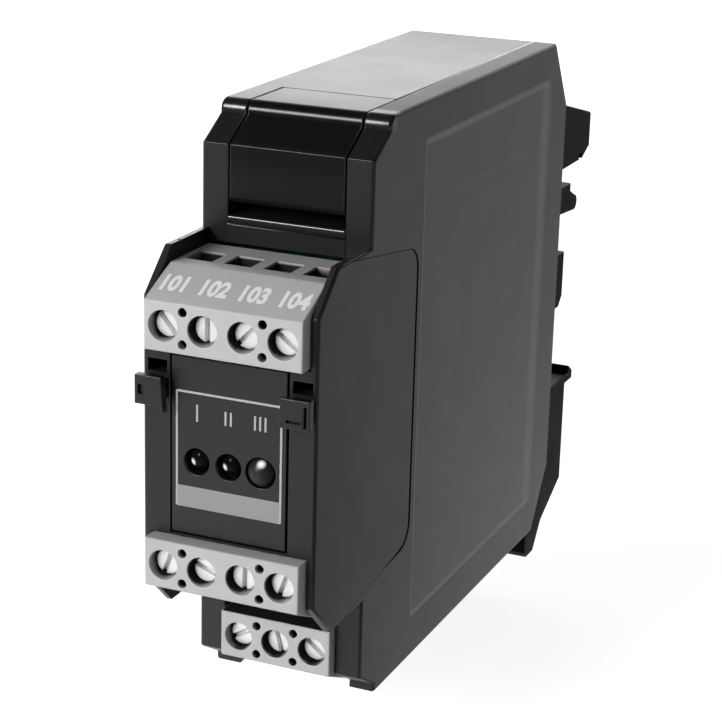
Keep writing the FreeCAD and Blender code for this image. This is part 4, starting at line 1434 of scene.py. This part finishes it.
@dataclass
class Inside:
    """Lights and the pieces on the boards."""

    bench: Bench

    def build(self) -> None:
        """Dresses every inner piece."""
        for number, lens in enumerate(LENSES, 1):
            self.bench.dress(f"indicator_light_{number}", lens)
        for board in ("front_board", "rear_board", "main_board", "light_board"):
            self.bench.dress(board, BOARD)
        self.bench.dress("link_pins", PIN)
        for relay in ("relay_upper", "relay_lower"):
            self.bench.dress(relay, RELAY)
        self.bench.dress("transformer", CORE)
        for can in ("capacitor_1", "capacitor_2"):
            self.bench.dress(can, SLEEVE)


@dataclass
class RailClip:
    """Rail foot with its sprung slider."""

    bench: Bench
    edge: float = 0.18 * MM
    spring_edge: float = 0.05 * MM
    hook_end: float = 4.2 * MM

    def short_of_hook(self, place: Vector) -> float:
        """Share of the rounding: full in front of the hook's end, none behind it."""
        return float(place.y < self.hook_end)

    def build(self) -> None:
        """Rounds and dresses the foot, the slider and its spring."""
        self.bench.soften("rail_foot", FOOT, FOOT_EDGE, Slot.FOOT, self.edge, self.short_of_hook)
        self.bench.soften("rail_slider", FOOT, FOOT_EDGE, Slot.FOOT, self.edge)
        self.spring()

    def spring(self) -> None:
        """Rounds and dresses the folded spring, and gives it a mesh of its own."""
        folds = self.bench.soften("slider_spring", SPRING, SPRING, Slot.SPRING, self.spring_edge)
        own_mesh(folds)


@dataclass(frozen=True)
class Lamp:
    """Soft lamp that looks at the object, for plain light, for glints or for both."""

    name: str
    place: Point
    size: Span
    watts: float
    plain: bool = True
    glints: bool = True

    def build(self, target: Vector) -> None:
        """Hangs the lamp.

        Args:
            target: Where it looks.
        """
        data = bpy.data.lights.new(self.name, "AREA")
        data.shape = "RECTANGLE"
        data.size, data.size_y = self.size
        data.energy = self.watts
        lamp = added(self.name, data)
        lamp.location = self.place
        lamp.rotation_euler = (target - lamp.location).to_track_quat("-Z", "Y").to_euler()
        lamp.visible_camera = False
        lamp.visible_diffuse = self.plain
        lamp.visible_glossy = self.glints


@dataclass
class Studio:
    """White floor, soft lamps and the camera of the photograph."""

    yaw_deg: float = 23.0
    elevation_deg: float = 17.70
    roll_deg: float = 1.57
    camera_place: Point = (0.105516, -0.309495, 0.086506)
    camera_near: float = 0.01
    lens_px: float = 2148.0
    image_px: float = 722.0
    sensor_mm: float = 36.0
    floor_z: float = -48.2 * MM
    floor_half: float = 3.0
    floor_points: int = 9
    floor_level: float = 0.55
    floor_glow: Ramp = Ramp(0.35, 1.0, 0.80, 1.0)
    sheet_left: Ramp = Ramp(-0.37, -0.30, 0.12, 1.2)
    sheet_behind: Ramp = Ramp(-0.12, 0.02, 0.06, 0.55)
    sheet_far_right: Ramp = Ramp(0.14, 0.24, 0.0, 0.7)
    sheet_middle: Span = (-0.02, 0.05)
    sky_shown: Ramp = Ramp(0.0, 0.2, 0.3, 0.07)
    sky_level: float = 0.16
    lamps: tuple[Lamp, ...] = (
        Lamp("key", (-0.28, -0.77, 0.20), (0.28, 0.28), 5.3, glints=False),
        Lamp("back", (-0.26, 0.68, 0.26), (0.90, 0.36), 4.2),
        Lamp("glint", (-0.246, -0.51, 0.30), (0.16, 0.16), 2.6, plain=False),
    )

    def build(self) -> None:
        """Sets floor, world, lamps and camera."""
        self.floor()
        self.world()
        low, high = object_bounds()
        for lamp in self.lamps:
            lamp.build((low + high) / 2)
        self.camera()
        bpy.context.scene.view_settings.view_transform = "Standard"

    def floor(self) -> None:
        """Lays a level floor of square fields."""
        side = np.linspace(-self.floor_half, self.floor_half, self.floor_points)
        x, y = np.meshgrid(side, side)
        points = np.stack([x, y, np.full_like(x, self.floor_z)], axis=-1)
        index = np.arange(x.size).reshape(x.shape)
        quads = np.stack([index[:-1, :-1], index[:-1, 1:], index[1:, 1:], index[1:, :-1]], axis=-1)
        mesh = bpy.data.meshes.new("floor")
        mesh.from_pydata(points.reshape(-1, 3).tolist(), [], quads.reshape(-1, 4).tolist())
        mesh.materials.append(self.floor_paint())
        added("floor", mesh)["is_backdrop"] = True

    def floor_paint(self) -> bpy.types.Material:
        """Paints the floor: white to the camera, with the shadow kept, and clear to a camera under it.

        Returns:
            The material.
        """
        material = bpy.data.materials.new("floor_white")
        material.use_nodes = True
        nodes = material.node_tree.nodes
        nodes.remove(nodes["Principled BSDF"])
        wiring = Wiring(material.node_tree)
        path = wiring.add("ShaderNodeLightPath")
        matt = wiring.add("ShaderNodeBsdfDiffuse")
        matt.inputs["Color"].default_value = opaque(grey(self.floor_level))
        away = wiring.vectors("LENGTH", wiring.place()).outputs["Value"]
        white = wiring.maths("MULTIPLY", path.outputs["Is Camera Ray"], self.floor_glow.at(wiring, away))
        glow = wiring.add("ShaderNodeEmission")
        wiring.feed(white, glow.inputs["Strength"])
        plain = wiring.fed(wiring.add("ShaderNodeAddShader"), matt.outputs[0], glow.outputs[0])
        sheet = wiring.add("ShaderNodeEmission")
        wiring.feed(self.sheet(wiring), sheet.inputs["Strength"])
        shown = wiring.choose(self.mirrored(wiring, path), plain, sheet)
        below = wiring.add("ShaderNodeNewGeometry").outputs["Backfacing"]
        under = wiring.maths("MULTIPLY", below, path.outputs["Is Camera Ray"])
        seen = wiring.choose(under, shown, wiring.add("ShaderNodeBsdfTransparent"))
        wiring.feed(seen.outputs[0], nodes["Material Output"].inputs["Surface"])
        return material

    @staticmethod
    def mirrored(wiring: Wiring, path: bpy.types.Node) -> bpy.types.NodeSocket:
        """1 where a ray comes by a reflection or through a clear body, and 0 elsewhere."""
        return wiring.maths("MAXIMUM", path.outputs["Is Glossy Ray"], path.outputs["Is Transmission Ray"])

    def sheet(self, wiring: Wiring) -> bpy.types.NodeSocket:
        """Works out how white the floor shows in reflections.

        On the left it is white but for what lies far in front; on the right it is dim close by, and rises
        towards the back and far to the side.

        Args:
            wiring: The floor material's wiring.

        Returns:
            The level at a place.
        """
        place = wiring.parts(wiring.place())
        left = self.sheet_left.at(wiring, place.outputs["Y"])
        behind = self.sheet_behind.at(wiring, place.outputs["Y"])
        right = wiring.maths("MAXIMUM", behind, self.sheet_far_right.at(wiring, place.outputs["X"]))
        across = wiring.spread(place.outputs["X"], self.sheet_middle, WHOLE)
        return wiring.between(across, left, right)

    def world(self) -> None:
        """White to the camera; dark overhead in reflections; a low even level for plain lighting."""
        world = bpy.data.worlds.new("studio")
        world.use_nodes = True
        wiring = Wiring(world.node_tree)
        way = wiring.parts(wiring.add("ShaderNodeTexCoord").outputs["Generated"])
        path = wiring.add("ShaderNodeLightPath")
        mirror = self.mirrored(wiring, path)
        shown = wiring.maths("MULTIPLY", mirror, self.sky_shown.at(wiring, way.outputs["Z"]))
        dim = wiring.maths("ADD", shown, wiring.spread(mirror, WHOLE, (self.sky_level, 0.0)))
        sky = world.node_tree.nodes["Background"]
        sky.inputs["Color"].default_value = opaque(grey(1.0))
        wiring.feed(wiring.maths("MAXIMUM", dim, path.outputs["Is Camera Ray"]), sky.inputs["Strength"])
        bpy.context.scene.world = world

    def camera(self) -> None:
        """Camera at the photograph's place: turned, raised and rolled as the photograph was taken."""
        yaw, rise, roll = (math.radians(v) for v in (self.yaw_deg, self.elevation_deg, self.roll_deg))
        back = Vector((math.sin(yaw) * math.cos(rise), -math.cos(yaw) * math.cos(rise), math.sin(rise)))
        right = Vector((math.cos(yaw), math.sin(yaw), 0.0))
        up = back.cross(right)
        level = math.cos(roll) * right + math.sin(roll) * up
        tall = math.cos(roll) * up - math.sin(roll) * right
        data = bpy.data.cameras.new("camera")
        data.sensor_width = self.sensor_mm
        data.lens = self.lens_px / self.image_px * self.sensor_mm
        data.clip_start = self.camera_near
        camera = added("camera", data)
        turn = Matrix((level, tall, back)).transposed().to_4x4()
        camera.matrix_world = Matrix.Translation(self.camera_place) @ turn
        bpy.context.scene.camera = camera


def main() -> None:
    """Builds the looks of every sub-assembly, then the studio."""
    logging.basicConfig(level=logging.INFO, format="%(message)s")
    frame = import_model()
    bench = Bench(frame)
    Housing(bench).build()
    FrontCap(bench).build()
    for row in Row:
        TerminalRow(bench, row).build()
    Inside(bench).build()
    RailClip(bench).build()
    Studio().build()


if __name__ == "__main__":
    main()
